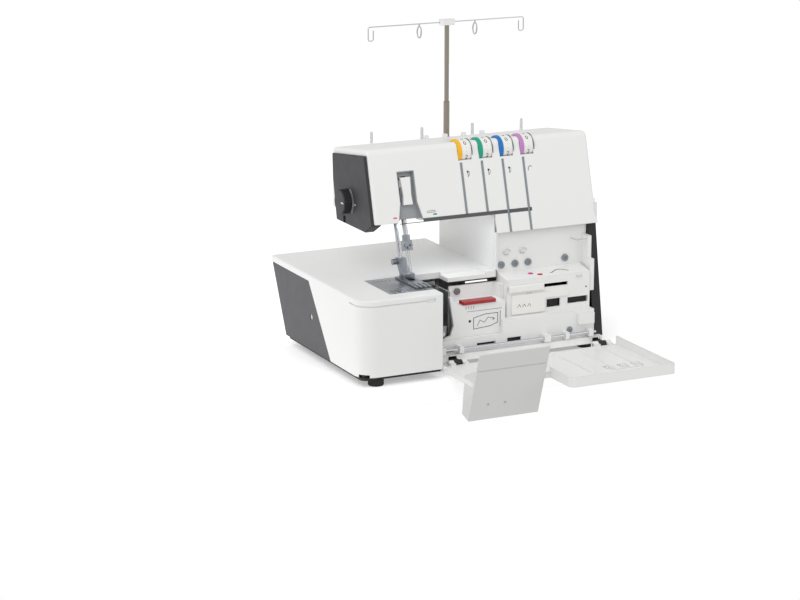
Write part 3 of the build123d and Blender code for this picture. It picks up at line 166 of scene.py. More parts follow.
def plain_finish(colours):
    """Every finish by name. Each starts from the real material and how its surface was made."""
    made = {}
    # Moulded ABS from a lightly etched tool: bright, satin, with a soft sheen and no visible grain
    made["white"] = surface("moulded ABS white", colours.shell, 0.36, depth=0.012, spread=0.012, edge=1.2)
    # The cloth plate is the same white ABS in a darker copy: painted shade, since the open plate faces down
    # and away from the light
    made["plate"] = surface("moulded ABS plate", linear("#DCDCDB"), 0.4, depth=0.012, spread=0.012)
    # Textured ABS, spark-eroded tool: dark and even, the highlight spread wide
    made["end"] = surface("textured ABS dark grey", colours.end_panel, 0.5, grain=0.7, depth=0.05)
    made["side"] = surface("textured ABS mid grey", colours.side_panel, 0.55, grain=0.7, depth=0.05)
    made["black"] = surface("textured ABS black", linear("#1B1B1D"), 0.5, grain=0.7, depth=0.05)
    made["liner"] = surface("moulded ABS grey liner", linear("#9DA0A3"), 0.45)
    made["slot"] = surface("moulded ABS slot grey", linear("#8E9499"), 0.45)
    made["cream"] = surface("moulded acetal cream", linear("#F3F2EE"), 0.35)
    made["red"] = surface("moulded acetal red", colours.lever, 0.32, spread=0.02)
    # Clear-white polycarbonate: a little light goes through it and it brightens at its edges
    made["clear"] = surface("moulded polycarbonate clear white", linear("#E9EDEE"), 0.22, spread=0.01,
                            sockets={"Transmission Weight": 0.35, "IOR": 1.58})
    # Turned and ground steel: mirror-like along the bar with faint rings across it
    made["ground"] = surface("ground steel", linear("#C9CBCE"), 0.18, 1.0, grain=0.3, depth=0.01,
                             stretch=(1, 1, 4), edge=0.2)
    # Brushed stainless plate: highlights drawn out across the brushing
    made["brushed"] = surface("brushed stainless steel", linear("#A4A5A8"), 0.3, 1.0, grain=0.35,
                              depth=0.02, spread=0.06, stretch=(0.06, 1, 1), edge=0.3,
                              sockets={"Anisotropic": 0.5})
    made["satin"] = surface("satin plated steel", linear("#9AA0A6"), 0.32, 1.0, edge=0.3)
    made["cast"] = surface("cast aluminium", linear("#A8AAAA"), 0.5, 1.0, grain=1.6, depth=0.12)
    made["bronze"] = surface("sintered bronze", linear("#A98A52"), 0.4, 1.0)
    made["mast"] = surface("painted steel tube warm grey", linear("#968E82"), 0.35, 0.4, depth=0.01)
    made["rubber"] = surface("moulded rubber black", linear("#171717"), 0.75, grain=0.9, depth=0.06)
    made["motor"] = surface("painted steel black", linear("#202124"), 0.35)
    # The lamp's diffuser glows evenly
    made["lamp"] = surface("lit diffuser", linear("#F4F8FF"), 0.4,
                           sockets={"Emission Color": linear("#EAF2FF") + (1,), "Emission Strength": 1.2})
    # Screen-printed ink: flat, matt and a hair proud of the plastic. The near-black one and the dark brown
    # one are not ink but painted shade, for the bay's recesses and for behind the looper
    for name, code in (("ink", "#26262A"), ("ink_grey", "#8A8D92"), ("ink_orange", "#E8752A"),
                       ("ink_teal", "#159A8C"), ("ink_red", "#C8203C"), ("ink_magenta", "#D83A8E"),
                       ("ink_light", "#D9DADC"), ("shadow", "#0E0E10"), ("brown", "#2E2A27")):
        made[name] = surface("printed ink " + name.replace("ink_", ""), linear(code), 0.6, depth=0.005)
    for name, colour, start in zip(("yellow", "green", "blue", "purple"),
                                   (colours.yellow, colours.green, colours.blue, colours.purple), DIALS):
        made["dial_" + name] = two_colour_dial("moulded ABS dial " + name, tuple(colour), start)
    return made


DIALS = [201.0 + 32.8 * n for n in range(4)]
FINISH = {}
NODE_FINISH = {
    "white": "bed_cover head_cover column_cover rear_cover looper_panel looper_door spool_discs spool_tray "
             "mast_hub handwheel take_up_lever top_thread_guides",
    # The cloth plate takes the darker copy of the white ABS: painted shade
    "plate": "cloth_plate",
    "end": "head_end_panel pressure_dial",
    "side": "bed_side_panel edge_trim",
    "black": "base_tray column_side_cover power_inlet power_switch drive_pulley presser_lever",
    "liner": "take_up_recess",
    "slot": "thread_slot_trims",
    "cream": "looper_guide_plate looper_thread_slide",
    "red": "looper_select_lever",
    "clear": "spool_pins",
    "ground": "needle_bar needles presser_bar main_shaft dial_axle looper door_link_rod looper_thread_hook "
              "thread_guide_wire door_hinge_pins tension_discs",
    "brushed": "needle_plate",
    "satin": "presser_foot needle_clamp feed_dog cover_screws motor_pulley",
    "cast": "main_frame looper_frame",
    "bronze": "shaft_bushes bar_bushes",
    "mast": "mast_lower_tube mast_upper_tube",
    "rubber": "rubber_feet drive_belt",
    "motor": "motor",
    "lamp": "lamp_lenses",
}


# Meshes


def new_piece(name, mesh, finish, body):
    """Makes a finished mesh a piece that rides on a body."""
    made = bpy.data.objects.new(name, mesh)
    bpy.context.scene.collection.objects.link(made)
    if finish is not None:
        mesh.materials.clear()
        mesh.materials.append(finish)
    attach(made, body)
    return made


def close(name, work):
    """Merges doubles, points the faces outwards and gives the mesh."""
    bmesh.ops.remove_doubles(work, verts=work.verts, dist=1e-7)
    bmesh.ops.recalc_face_normals(work, faces=work.faces)
    mesh = bpy.data.meshes.new(name)
    work.to_mesh(mesh)
    work.free()
    return mesh


def slab(work, face, outline, thickness=0.12, sink=0.05):
    """A thin flat shape on a face, from its outline in mm."""
    low = [work.verts.new(face.at(x, y, -sink)) for x, y in outline]
    high = [work.verts.new(face.at(x, y, thickness)) for x, y in outline]
    work.faces.new(high)
    work.faces.new(low[::-1])
    for n in range(len(outline)):
        m = (n + 1) % len(outline)
        work.faces.new((low[n], low[m], high[m], high[n]))


def line(work, face, points, width, thickness=0.12):
    """A drawn line on a face: one short slab for each run, its ends lapped."""
    for (x0, y0), (x1, y1) in zip(points, points[1:]):
        along = Vector((x1 - x0, y1 - y0))
        if along.length < 1e-6:
            continue
        along.normalize()
        reach, half = along * width / 2, Vector((-along.y, along.x)) * width / 2
        start, end = Vector((x0, y0)) - reach, Vector((x1, y1)) + reach
        slab(work, face, [tuple(start - half), tuple(end - half), tuple(end + half), tuple(start + half)],
             thickness)


def dot(work, face, x, y, radius, thickness=0.12, flat=1.0, sides=20):
    """A round or oval spot on a face."""
    slab(work, face, [(x + radius * cos(2 * pi * n / sides), y + flat * radius * sin(2 * pi * n / sides))
                      for n in range(sides)], thickness)


def rounded_block(work, low, high, radius):
    """A block between two drawing corners with its edges rounded."""
    start, end = place(*low), place(*high)
    size = end - start
    made = bmesh.ops.create_cube(work, size=1.0, matrix=Matrix.Translation((start + end) / 2)
                                 @ Matrix.Diagonal((*size, 1)))
    edges = list({e for v in made["verts"] for e in v.link_edges})
    bmesh.ops.bevel(work, geom=edges, offset=radius / 1000, segments=3, profile=0.5, affect="EDGES")


def tube(work, points, radius, sides=10):
    """A wire through drawing points, closed at both ends."""
    path = [place(*p) for p in points]
    rings = []
    for n, middle in enumerate(path):
        ahead = (path[min(n + 1, len(path) - 1)] - path[max(n - 1, 0)]).normalized()
        across = ahead.orthogonal() if n == 0 else across - ahead * across.dot(ahead)
        across.normalize()
        other = ahead.cross(across)
        turns = [2 * pi * k / sides for k in range(sides)]
        rings.append([work.verts.new(middle + (across * cos(t) + other * sin(t)) * radius / 1000)
                      for t in turns])
    for one, two in zip(rings, rings[1:]):
        for k in range(sides):
            m = (k + 1) % sides
            work.faces.new((one[k], one[m], two[m], two[k]))
    work.faces.new(rings[0][::-1])
    work.faces.new(rings[-1])


def letter(character, height):
    """The flat outline of a figure as triangles in mm, centred."""
    curve = bpy.data.curves.new("figure", "FONT")
    curve.body, curve.size = character, height / 0.7
    curve.align_x, curve.align_y = "CENTER", "CENTER"
    curve.extrude = 0.06
    holder = bpy.data.objects.new("figure", curve)
    bpy.context.scene.collection.objects.link(holder)
    bpy.context.view_layer.update()
    mesh = bpy.data.meshes.new_from_object(holder.evaluated_get(bpy.context.evaluated_depsgraph_get()))
    bpy.data.objects.remove(holder)
    corners = [v.co.copy() for v in mesh.vertices]
    faces = [tuple(p.vertices) for p in mesh.polygons]
    bpy.data.meshes.remove(mesh)
    return corners, faces


def stamp(work, shape, put):
    """Copies a figure's corners and faces into a mesh, each corner moved by put()."""
    corners, faces = shape
    made = [work.verts.new(put(c)) for c in corners]
    for face in faces:
        try:
            work.faces.new([made[n] for n in face])
        except ValueError:
            continue


# Node trees for what repeats


def bake(holder, body):
    """Turns a Geometry Nodes result into a plain mesh and lets it ride."""
    bpy.context.view_layer.update()
    mesh = bpy.data.meshes.new_from_object(holder.evaluated_get(bpy.context.evaluated_depsgraph_get()))
    name = holder.name
    bpy.data.objects.remove(holder)
    return new_piece(name, mesh, None, body)


def start_tree(name, sizes):
    """A Geometry Nodes tree with one named input for each size."""
    tree = bpy.data.node_groups.new(name, "GeometryNodeTree")
    tree.interface.new_socket("Geometry", in_out="INPUT", socket_type="NodeSocketGeometry")
    ids = {}
    for label, kind in sizes.items():
        ids[label] = tree.interface.new_socket(label, in_out="INPUT", socket_type=kind).identifier
    tree.interface.new_socket("Geometry", in_out="OUTPUT", socket_type="NodeSocketGeometry")
    return tree, ids, tree.nodes.new("NodeGroupInput")


def run_tree(name, mesh, tree, ids, values):
    """Puts a tree on a new object with its input values set."""
    holder = bpy.data.objects.new(name, mesh or bpy.data.meshes.new(name))
    bpy.context.scene.collection.objects.link(holder)
    step = holder.modifiers.new("Nodes", "NODES")
    step.node_group = tree
    for label, value in values.items():
        step[ids[label]] = value
    return holder


def finish_tree(tree, inputs, geometry):
    """Ends a tree: real geometry, with its material."""
    real = add(tree, "GeometryNodeRealizeInstances", {"Geometry": geometry})
    coloured = add(tree, "GeometryNodeSetMaterial",
                   {"Geometry": real.outputs[0], "Material": inputs.outputs["Finish"]})
    out = add(tree, "NodeGroupOutput")
    tree.links.new(coloured.outputs[0], out.inputs[0])


def tick_tree():
    """Ticks round an arc: a scale's graduations."""
    tree, ids, given = start_tree("scale ticks", {
        "Count": "NodeSocketInt", "Radius": "NodeSocketFloat", "Start": "NodeSocketFloat",
        "Step": "NodeSocketFloat", "Tick": "NodeSocketVector", "Middle": "NodeSocketVector",
        "Turn": "NodeSocketVector", "Finish": "NodeSocketMaterial"})
    index = add(tree, "GeometryNodeInputIndex")
    angle = add(tree, "ShaderNodeMath", {0: index.outputs[0], 1: given.outputs["Step"],
                                         2: given.outputs["Start"]}, operation="MULTIPLY_ADD")
    wide = add(tree, "ShaderNodeMath", {0: angle.outputs[0]}, operation="COSINE")
    tall = add(tree, "ShaderNodeMath", {0: angle.outputs[0]}, operation="SINE")
    ring = add(tree, "ShaderNodeCombineXYZ", {"X": wide.outputs[0], "Y": tall.outputs[0]})
    spot = add(tree, "ShaderNodeVectorMath", {0: ring.outputs[0], "Scale": given.outputs["Radius"]},
               operation="SCALE")
    points = add(tree, "GeometryNodePoints", {"Count": given.outputs["Count"], "Position": spot.outputs[0]})
    turn = add(tree, "ShaderNodeCombineXYZ", {"Z": angle.outputs[0]})
    tick = add(tree, "GeometryNodeMeshCube", {"Size": given.outputs["Tick"]})
    copies = add(tree, "GeometryNodeInstanceOnPoints", {"Points": points.outputs[0],
                 "Instance": tick.outputs[0], "Rotation": turn.outputs[0]})
    put = add(tree, "GeometryNodeTransform", {"Geometry": copies.outputs[0],
              "Translation": given.outputs["Middle"], "Rotation": given.outputs["Turn"]})
    finish_tree(tree, given, put.outputs[0])
    return tree, ids


def row_tree():
    """A bar repeated in an even row: the seam guides' graduations."""
    tree, ids, given = start_tree("even row", {
        "Count": "NodeSocketInt", "First": "NodeSocketVector", "Pitch": "NodeSocketVector",
        "Size": "NodeSocketVector", "Finish": "NodeSocketMaterial"})
    row = add(tree, "GeometryNodeMeshLine", {"Count": given.outputs["Count"],
              "Start Location": given.outputs["First"], "Offset": given.outputs["Pitch"]})
    shape = add(tree, "GeometryNodeMeshCube", {"Size": given.outputs["Size"]})
    copies = add(tree, "GeometryNodeInstanceOnPoints", {"Points": row.outputs[0],
                 "Instance": shape.outputs[0]})
    finish_tree(tree, given, copies.outputs[0])
    return tree, ids


def head_tree():
    """One screw head at each point, turned to the face it is in."""
    tree, ids, given = start_tree("screw heads", {
        "Screw": "NodeSocketObject", "Turn": "NodeSocketVector", "Finish": "NodeSocketMaterial"})
    screw = add(tree, "GeometryNodeObjectInfo", {"Object": given.outputs["Screw"], "As Instance": True})
    copies = add(tree, "GeometryNodeInstanceOnPoints", {"Points": given.outputs["Geometry"],
                 "Instance": screw.outputs["Geometry"], "Rotation": given.outputs["Turn"]})
    finish_tree(tree, given, copies.outputs[0])
    return tree, ids


# Settings


def colour_setting(label, words, code):
    return FloatVectorProperty(name=label, description=words, subtype="COLOR", size=3, min=0, max=1,
                               default=linear(code))


class CoverlockColours(bpy.types.PropertyGroup):
    """The colours a maker would change between models."""

    shell: colour_setting("Shell", "The white covers", "#F0F0EF")
    end_panel: colour_setting("End panel", "The dark panel on the head's end", "#2B2B30")
    side_panel: colour_setting("Side panel", "The grey panel in the bed's side", "#545457")
    lever: colour_setting("Selector lever", "The red looper lever", "#A8282C")
    yellow: colour_setting("First dial", "Left needle's dial", "#FDC010")
    green: colour_setting("Second dial", "Middle needle's dial", "#00A88A")
    blue: colour_setting("Third dial", "Right needle's dial", "#0A78C8")
    purple: colour_setting("Fourth dial", "Looper's dial", "#C98CC8")


class CoverlockMarks(bpy.types.PropertyGroup):
    """Sizes of what is printed on the machine."""

    figure_height: FloatProperty(name="Figure height", description="Height of a dial's figures, mm",
                                 default=6.4, min=2, max=9)
    line_width: FloatProperty(name="Line width", description="Width of a printed line, mm", default=0.8,
                              min=0.2, max=2)
    figures: IntProperty(name="Figures", description="Figures round a dial", default=10, min=4, max=10)
    ticks: IntProperty(name="Ticks", description="Ticks on the pressure scale", default=11, min=3, max=30)


class CoverlockStage(bpy.types.PropertyGroup):
    """The table and the light."""

    table_front: FloatProperty(name="Table front", description="The table's edge in front of the feet",
                               default=-0.021, unit="LENGTH")
    key_power: FloatProperty(name="Key light", description="Power of the main light", default=19.0, min=0,
                             unit="POWER")
    fill_power: FloatProperty(name="Fill light", description="Power of the side light", default=5.0, min=0,
                              unit="POWER")
    tent_light: FloatProperty(name="Tent light", description="Strength of the even light all round",
                              default=0.72, min=0)
    lamp_power: FloatProperty(name="Sewing lamps", description="Power of each sewing lamp", default=0.012,
                              min=0, unit="POWER")


class Step(bpy.types.Operator):
    """Base of the build steps."""

    bl_options = {"REGISTER", "UNDO"}


class COVERLOCK_OT_finishes(Step):
    """Gives every part of the machine its finish"""

    bl_idname = "coverlock.finishes"
    bl_label = "Finish the parts"

    def execute(self, context):
        FINISH.update(plain_finish(context.scene.coverlock_colours))
        wanted = {node: name for name, nodes in NODE_FINISH.items() for node in nodes.split()}
        for colour in ("yellow", "green", "blue", "purple"):
            wanted["tension_dial_" + colour] = "dial_" + colour
        for node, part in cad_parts.items():
            if not part.material_slots:
                part.data.materials.append(FINISH[wanted[node]])
            for slot in part.material_slots:
                slot.material = FINISH[wanted[node]]
        return {"FINISHED"}


class COVERLOCK_OT_dial_figures(Step):
    """Prints the figures round each tension dial's drum"""

    bl_idname = "coverlock.dial_figures"
    bl_label = "Number the tension dials"

    def execute(self, context):
        marks = context.scene.coverlock_marks
        shapes = [letter(str(n), marks.figure_height) for n in range(marks.figures)]
        for start, colour in zip(DIALS, ("yellow", "green", "blue", "purple")):
            work = bmesh.new()
            for n, shape in enumerate(shapes):
                middle = radians(52) - 2 * pi * n / marks.figures

                def wrap(corner, middle=middle, start=start):
                    turn = middle + corner.y / DIAL_RADIUS
                    out = (DIAL_RADIUS + 0.02 + corner.z * 0.9) / 1000
                    return Vector((place(start + 13.5 + corner.x, 0, 0).x, DIAL_AXLE.y - out * cos(turn),
                                   DIAL_AXLE.z + out * sin(turn)))

                stamp(work, shape, wrap)
            new_piece("figures_" + colour, close("figures", work), FINISH["ink"], colour + "_dial")
        return {"FINISHED"}


class COVERLOCK_OT_head_marks(Step):
    """Prints the thread symbols on the head's front and fits the dials' seam rings"""

    bl_idname = "coverlock.head_marks"
    bl_label = "Mark the head"

    def execute(self, context):
        wide = context.scene.coverlock_marks.line_width
        work = bmesh.new()
        for n, start in enumerate(DIALS):
            left, top = start + 12.0, up_face(262)
            if n < 3:  # a needle symbol, its eye and its thread
                line(work, FRONT, [(left, top), (left, top - 6)], wide)
                dot(work, FRONT, left, top + 1.2, 1.5)
                line(work, FRONT, [(left + 2.4, top + 1), (left + 2.4, top - 3), (left + 1, top - 5)],
                     wide * 0.6)
            else:  # a looper symbol
                line(work, FRONT, [(left - 3, top - 5), (left - 2.4, top - 1), (left, top + 1),
                                   (left + 3, top)], wide)
        for low in (214, 216):
            line(work, FRONT, [(143, up_face(low)), (156, up_face(low))], wide * 0.7)
        new_piece("head_symbols", close("head_symbols", work), FINISH["ink"], "base")
        for name, across, finish in (("thread_mark_orange", 90.5, "ink_orange"),
                                     ("thread_mark_teal", 152.0, "ink_teal")):
            work = bmesh.new()
            slab(work, FRONT, [(across, up_face(210)), (across + 5.5, up_face(210)),
                               (across + 5.5, up_face(212)), (across, up_face(212))])
            new_piece(name, close(name, work), FINISH[finish], "base")
        work = bmesh.new()
        for start in DIALS:  # the seam beside each drum follows the dial's round
            rings = []
            for n in range(33):
                turn = radians(-10 + 130 * n / 32)
                rings.append([work.verts.new(Vector((place(start + a, 0, 0).x,
                                                     DIAL_AXLE.y - r / 1000 * cos(turn),
                                                     DIAL_AXLE.z + r / 1000 * sin(turn))))
                              for a, r in ((21.6, 14.5), (22.3, 14.5), (22.3, 17.6), (21.6, 17.6))])
            for one, two in zip(rings, rings[1:]):
                for k in range(4):
                    work.faces.new((one[k], one[(k + 1) % 4], two[(k + 1) % 4], two[k]))
            work.faces.new(rings[0][::-1])
            work.faces.new(rings[-1])
        new_piece("dial_seams", close("dial_seams", work), FINISH["ink_grey"], "base")
        return {"FINISHED"}


class COVERLOCK_OT_pressure_scale(Step):
    """Prints the graduated scale beside the presser foot's pressure knob"""

    bl_idname = "coverlock.pressure_scale"
    bl_label = "Graduate the pressure scale"

    def execute(self, context):
        count = context.scene.coverlock_marks.ticks
        tree, ids = tick_tree()
        holder = run_tree("pressure_scale", None, tree, ids, {
            "Count": count, "Radius": 0.0205, "Start": -radians(38), "Step": radians(96) / (count - 1),
            "Tick": (0.0028, 0.0007, 0.0004), "Middle": END.at(*KNOB, 0.05),
            "Turn": (pi / 2, 0, -pi / 2), "Finish": FINISH["ink_light"]})
        bake(holder, "base")
        work = bmesh.new()
        line(work, END, [(KNOB[0] + 23 * cos(radians(a)), KNOB[1] + 23 * sin(radians(a)))
                         for a in range(-38, 60, 6)], 0.7)
        slab(work, END, [(-146, 220), (-143, 222), (-146, 224)])
        new_piece("pressure_arc", close("pressure_arc", work), FINISH["ink_light"], "base")
        knob = Face(place(46.6, 0, 0), (0, -1, 0), (0, 0, 1))
        work = bmesh.new()
        slab(work, knob, [(KNOB[0] + a, KNOB[1] + z) for a, z in ((6, -1), (14, -1), (14, 1), (6, 1))],
             0.25, 0.3)
        new_piece("knob_pointer", close("knob_pointer", work), FINISH["ink_light"], "pressure_knob")
        return {"FINISHED"}


class COVERLOCK_OT_screw_heads(Step):
    """Fits the crosshead screws in the bay, the bed and the column's back"""

    bl_idname = "coverlock.screw_heads"
    bl_label = "Fit the screw heads"

    def execute(self, context):
        work = bmesh.new()
        bmesh.ops.create_cone(work, cap_ends=True, segments=20, radius1=0.0022, radius2=0.0018, depth=0.0012)
        for turn in (0, pi / 2):
            bmesh.ops.create_cube(work, size=1.0, matrix=Matrix.Rotation(turn, 4, "Z")
                                  @ Matrix.Translation((0, 0, 0.0006))
                                  @ Matrix.Diagonal((0.0028, 0.0006, 0.0003, 1)))
        screw = bpy.data.objects.new("screw", close("screw", work))
        bpy.context.scene.collection.objects.link(screw)
        tree, ids = head_tree()
        for name, spots, turn in (
                ("bay_screws", [(258, 85.6, 128), (280, 85.6, 128), (301, 85.6, 128), (361, 85.6, 128),
                                (346, 41.2, 34)], (pi / 2, 0, 0)),
                ("rear_screws", [(256, 262.6, 190), (390, 262.6, 190), (256, 262.6, 30), (390, 262.6, 30)],
                 (-pi / 2, 0, 0)),
                ("base_screws", [(60, 60, 9.6), (60, 200, 9.6), (330, 90, 9.6), (330, 215, 9.6)],
                 (pi, 0, 0))):
            points = bpy.data.meshes.new(name)
            points.from_pydata([place(*spot) for spot in spots], [], [])
            bake(run_tree(name, points, tree, ids, {"Screw": screw, "Turn": turn,
                                                    "Finish": FINISH["satin"]}), "base")
        bpy.data.objects.remove(screw)
        return {"FINISHED"}


class COVERLOCK_OT_plate_marks(Step):
    """Engraves the needle plate's seam guides"""

    bl_idname = "coverlock.plate_marks"
    bl_label = "Engrave the needle plate"

    def execute(self, context):
        tree, ids = row_tree()
        for name, first, length in (("seam_guides", (64, 40, 121.55), 9.0),
                                    ("seam_guides_rear", (64, 96, 121.55), 6.0)):
            holder = run_tree(name, None, tree, ids, {
                "Count": 6, "First": place(*first), "Pitch": Vector((6.0, 0, 0)) / 1000,
                "Size": Vector((0.5, length, 0.2)) / 1000, "Finish": FINISH["ink"]})
            bake(holder, "base")
        return {"FINISHED"}


class COVERLOCK_OT_looper_bay(Step):
    """Prints the threading chart and marks in the looper bay and fits its small guides"""

    bl_idname = "coverlock.looper_bay"
    bl_label = "Fit out the looper bay"

    def execute(self, context):
        wide = context.scene.coverlock_marks.line_width
        work = bmesh.new()
        # Threading chart: a machine outline, a thread path and two arrows
        line(work, CHART, [(196, 50), (196, 66), (214, 70), (234, 70), (234, 56), (222, 52), (196, 50)], wide)
        line(work, CHART, [(202, 54), (206, 62), (213, 58), (219, 65), (228, 62)], wide * 0.8)
        line(work, CHART, [(226, 64), (229, 62), (226, 60)], wide * 0.8)
        line(work, CHART, [(238, 50), (238, 72)], wide)
        line(work, CHART, [(186, 76), (240, 76)], wide * 0.6)
        dot(work, CHART, 190, 62, 2.0)
        for n in range(4):
            line(work, CHART, [(184 + 4 * n, 80), (184 + 4 * n, 83)], wide * 0.7)
        for x0, x1, y in ((284, 291, 97.5), (322, 327, 92), (330, 336, 92)):
            line(work, SHELF, [(x0, y - 8), (x1, y - 8)], 1.6)
        for x, y in ((268, 72), (276, 72), (284, 72)):
            line(work, GUIDE, [(x, y), (x + 3, y + 4), (x + 5, y)], wide * 0.7)
        line(work, SHELF_TOP, [(330 + 26 * t / 8, 10 + 7 * sin(pi * t / 8)) for t in range(9)], 1.2)
        line(work, SHELF_TOP, [(326, 9), (330, 10)], 1.2)
        dot(work, SHELF, 380, 90, 1.2)
        new_piece("bay_chart", close("bay_chart", work), FINISH["ink"], "base")
        for name, finish, x, y in (("mark_magenta", "ink_magenta", 297, 14), ("mark_red", "ink_red", 309, 8)):
            work = bmesh.new()
            dot(work, SHELF_TOP, x, y, 4.2, 0.25, 0.7, 28)
            new_piece(name, close(name, work), FINISH[finish], "base")
        # The looper's driving link, its arm and the needle guard behind the opening
        work = bmesh.new()
        rounded_block(work, (128, 98, 60), (136, 106, 104), 1.2)
        rounded_block(work, (126, 94, 28), (160, 99, 44), 1.5)
        rounded_block(work, (150, 96, 62), (162, 104, 90), 1.5)
        tube(work, [(131, 60, 26), (131, 80, 26), (131, 92, 40), (131, 100, 62)], 2.2)
        new_piece("looper_linkage", close("looper_linkage", work), FINISH["satin"], "base")
        # A dark brown sheet behind the looper mechanism: painted shade in the depth of the bay
        work = bmesh.new()
        rounded_block(work, (127, 106, 26), (163, 109, 96), 1.0)
        new_piece("bay_backing", close("bay_backing", work), FINISH["brown"], "base")
        # Near-black slabs in the bay's recesses and holes, a hair proud of their faces: painted shade
        work = bmesh.new()
        for low, high in (((264, 56.9, 64), (306, 56.95, 64.6)), ((318, 60, 66.5), (336, 62.5, 77.5)),
                          ((352, 60, 68.5), (381, 62.5, 76.5)), ((200, 46, 24.5), (226, 47.5, 30.5)),
                          ((248, 46, 26.5), (266, 47.5, 32.5))):
            rounded_block(work, low, high, 0.2)
        new_piece("bay_recesses", close("bay_recesses", work), FINISH["shadow"], "base")
        # Thread guides bent from wire on the bay's wall and the shelf
        work = bmesh.new()
        for across, up in ((266, 146), (292, 146)):
            tube(work, [(across + 5 * cos(t), 84.5 - 1.2 * sin(t), up + 4 * sin(t))
                        for t in [pi * 1.7 * n / 12 for n in range(13)]], 0.6)
        tube(work, [(364, 57.2, 107), (364, 55.8, 107), (365, 55.3, 107), (371, 55.3, 107),
                    (372, 55.8, 107), (372, 57.2, 107)], 0.6)
        new_piece("bay_guides", close("bay_guides", work), FINISH["ground"], "base")
        return {"FINISHED"}


class COVERLOCK_OT_door_marks(Step):
    """Prints the looper threading diagram inside the door"""

    bl_idname = "coverlock.door_marks"
    bl_label = "Mark the door's inside"

    def execute(self, context):
        wide = context.scene.coverlock_marks.line_width
        work = bmesh.new()
        for x, y in ((330, -94), (352, -94), (374, -94)):
            line(work, TRAY, [(x, y), (x, y + 14), (x + 12, y + 14), (x + 12, y), (x, y)], wide * 0.7)
            line(work, TRAY, [(x + 3, y + 3), (x + 6, y + 9), (x + 9, y + 4)], wide * 0.6)
            dot(work, TRAY, x + 3, y + 11, 1.1)
        line(work, TRAY, [(330, -100), (386, -100)], wide * 0.5)
        new_piece("door_chart", close("door_chart", work), FINISH["ink_grey"], "door")
        work = bmesh.new()
        for x in (262, 300, 338, 376):
            rounded_block(work, (x, -128, 12), (x + 1.6, -8, 14.2), 0.5)
        new_piece("door_ribs", close("door_ribs", work), FINISH["white"], "door")
        return {"FINISHED"}


class COVERLOCK_OT_lamps(Step):
    """Lights the two sewing lamps under the arm"""

    bl_idname = "coverlock.lamps"
    bl_label = "Light the sewing lamps"

    def execute(self, context):
        for n, (across, back) in enumerate(((150, 100), (200, 98))):
            light = bpy.data.lights.new(f"sewing_lamp_{n}", "AREA")
            light.shape, light.size = "DISK", 0.014
            light.energy = context.scene.coverlock_stage.lamp_power
            light.color = (0.93, 0.97, 1.0)
            holder = bpy.data.objects.new(light.name, light)
            holder.location = place(across, back, 200.5)
            bpy.context.scene.collection.objects.link(holder)
        return {"FINISHED"}


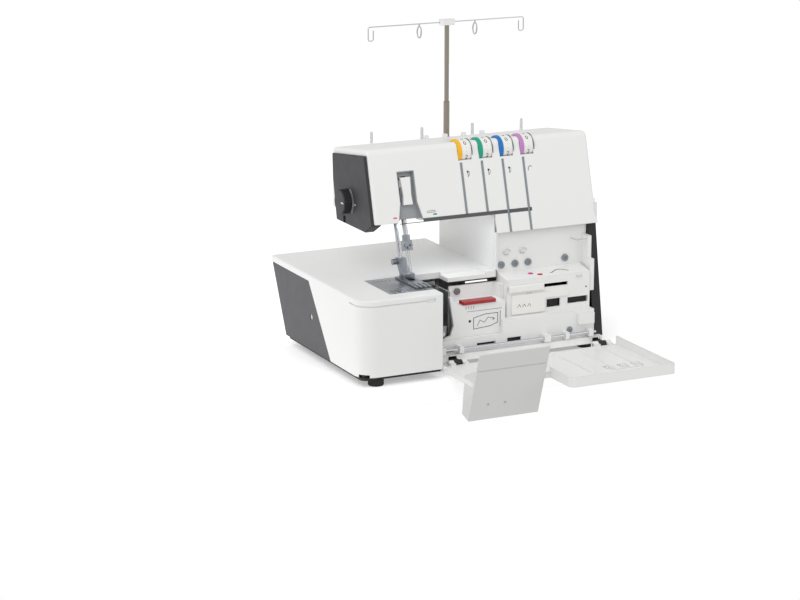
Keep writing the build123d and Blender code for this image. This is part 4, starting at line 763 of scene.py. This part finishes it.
class COVERLOCK_OT_stage(Step):
    """Sets the pale table, the soft light and the camera"""

    bl_idname = "coverlock.stage"
    bl_label = "Set the stage"

    def execute(self, context):
        settings = context.scene.coverlock_stage
        scene = context.scene
        work = bmesh.new()
        start, end = Vector((-2.2, settings.table_front, -0.03)), Vector((2.6, 2.4, 0.0))
        bmesh.ops.create_cube(work, size=1.0, matrix=Matrix.Translation((start + end) / 2)
                              @ Matrix.Diagonal((*(end - start), 1)))
        table = bpy.data.objects.new("table", close("table", work))
        # White laminate: even and matt, with a faint sheen at a low angle
        glow = {"Emission Color": (1, 1, 1, 1), "Emission Strength": 0.36}
        table.data.materials.append(surface("white laminate", linear("#FAFAFA"), 0.6, spread=0.004, edge=1.5,
                                            sockets=glow))
        scene.collection.objects.link(table)
        world = bpy.data.worlds.new("studio")
        world.use_nodes = True
        # The backdrop is plain white, and dimmer as a light than it looks, as behind a light tent
        tree = world.node_tree
        seen = add(tree, "ShaderNodeLightPath")
        level = add(tree, "ShaderNodeMapRange", {"Value": seen.outputs["Is Camera Ray"],
                                                 "To Min": settings.tent_light, "To Max": 1.0})
        backdrop = tree.nodes["Background"]
        backdrop.inputs["Color"].default_value = (1, 1, 1, 1)
        tree.links.new(level.outputs[0], backdrop.inputs["Strength"])
        scene.world = world
        for name, power, size, spot, aim in (
                ("key", settings.key_power, 1.6, (-1.3, -1.0, 2.1), (0.2, 0.1, 0.15)),
                ("fill", settings.fill_power, 1.4, (1.8, -1.6, 1.3), (0.2, 0.1, 0.15))):
            light = bpy.data.lights.new(name, "AREA")
            light.energy, light.size = power, size
            holder = bpy.data.objects.new(name, light)
            holder.location = spot
            holder.rotation_euler = (Vector(aim) - Vector(spot)).to_track_quat("-Z", "Y").to_euler()
            scene.collection.objects.link(holder)
        camera = bpy.data.cameras.new("camera")
        camera.lens, camera.sensor_width = 113.95, 36.0
        camera.clip_end = 30
        holder = bpy.data.objects.new("camera", camera)
        holder.location = (-1.4073, -3.0001, 0.9763)
        holder.rotation_euler = (radians(90 - 14.5), 0, -radians(25.7))
        scene.collection.objects.link(holder)
        scene.camera = holder
        scene.view_settings.view_transform = "Standard"
        return {"FINISHED"}


STEPS = (COVERLOCK_OT_finishes, COVERLOCK_OT_dial_figures, COVERLOCK_OT_head_marks,
         COVERLOCK_OT_pressure_scale, COVERLOCK_OT_screw_heads, COVERLOCK_OT_plate_marks,
         COVERLOCK_OT_looper_bay, COVERLOCK_OT_door_marks, COVERLOCK_OT_lamps, COVERLOCK_OT_stage)


class COVERLOCK_PT_panel(bpy.types.Panel):
    """Lists the build steps and the settings"""

    bl_label = "Coverlock"
    bl_idname = "COVERLOCK_PT_panel"
    bl_space_type = "VIEW_3D"
    bl_region_type = "UI"
    bl_category = "Coverlock"

    def draw(self, context):
        for settings in (context.scene.coverlock_colours, context.scene.coverlock_marks,
                         context.scene.coverlock_stage):
            for name in settings.__annotations__:
                self.layout.prop(settings, name)
        for step in STEPS:
            self.layout.operator(step.bl_idname)


CLASSES = (CoverlockColours, CoverlockMarks, CoverlockStage, *STEPS, COVERLOCK_PT_panel)


def register():
    for kind in CLASSES:
        bpy.utils.register_class(kind)
    bpy.types.Scene.coverlock_colours = PointerProperty(type=CoverlockColours)
    bpy.types.Scene.coverlock_marks = PointerProperty(type=CoverlockMarks)
    bpy.types.Scene.coverlock_stage = PointerProperty(type=CoverlockStage)


def unregister():
    for name in ("coverlock_colours", "coverlock_marks", "coverlock_stage"):
        delattr(bpy.types.Scene, name)
    for kind in reversed(CLASSES):
        bpy.utils.unregister_class(kind)


def main():
    register()
    for step in STEPS:
        group, name = step.bl_idname.split(".")
        getattr(getattr(bpy.ops, group), name)()
    bpy.context.view_layer.update()


if __name__ == "__main__":
    main()
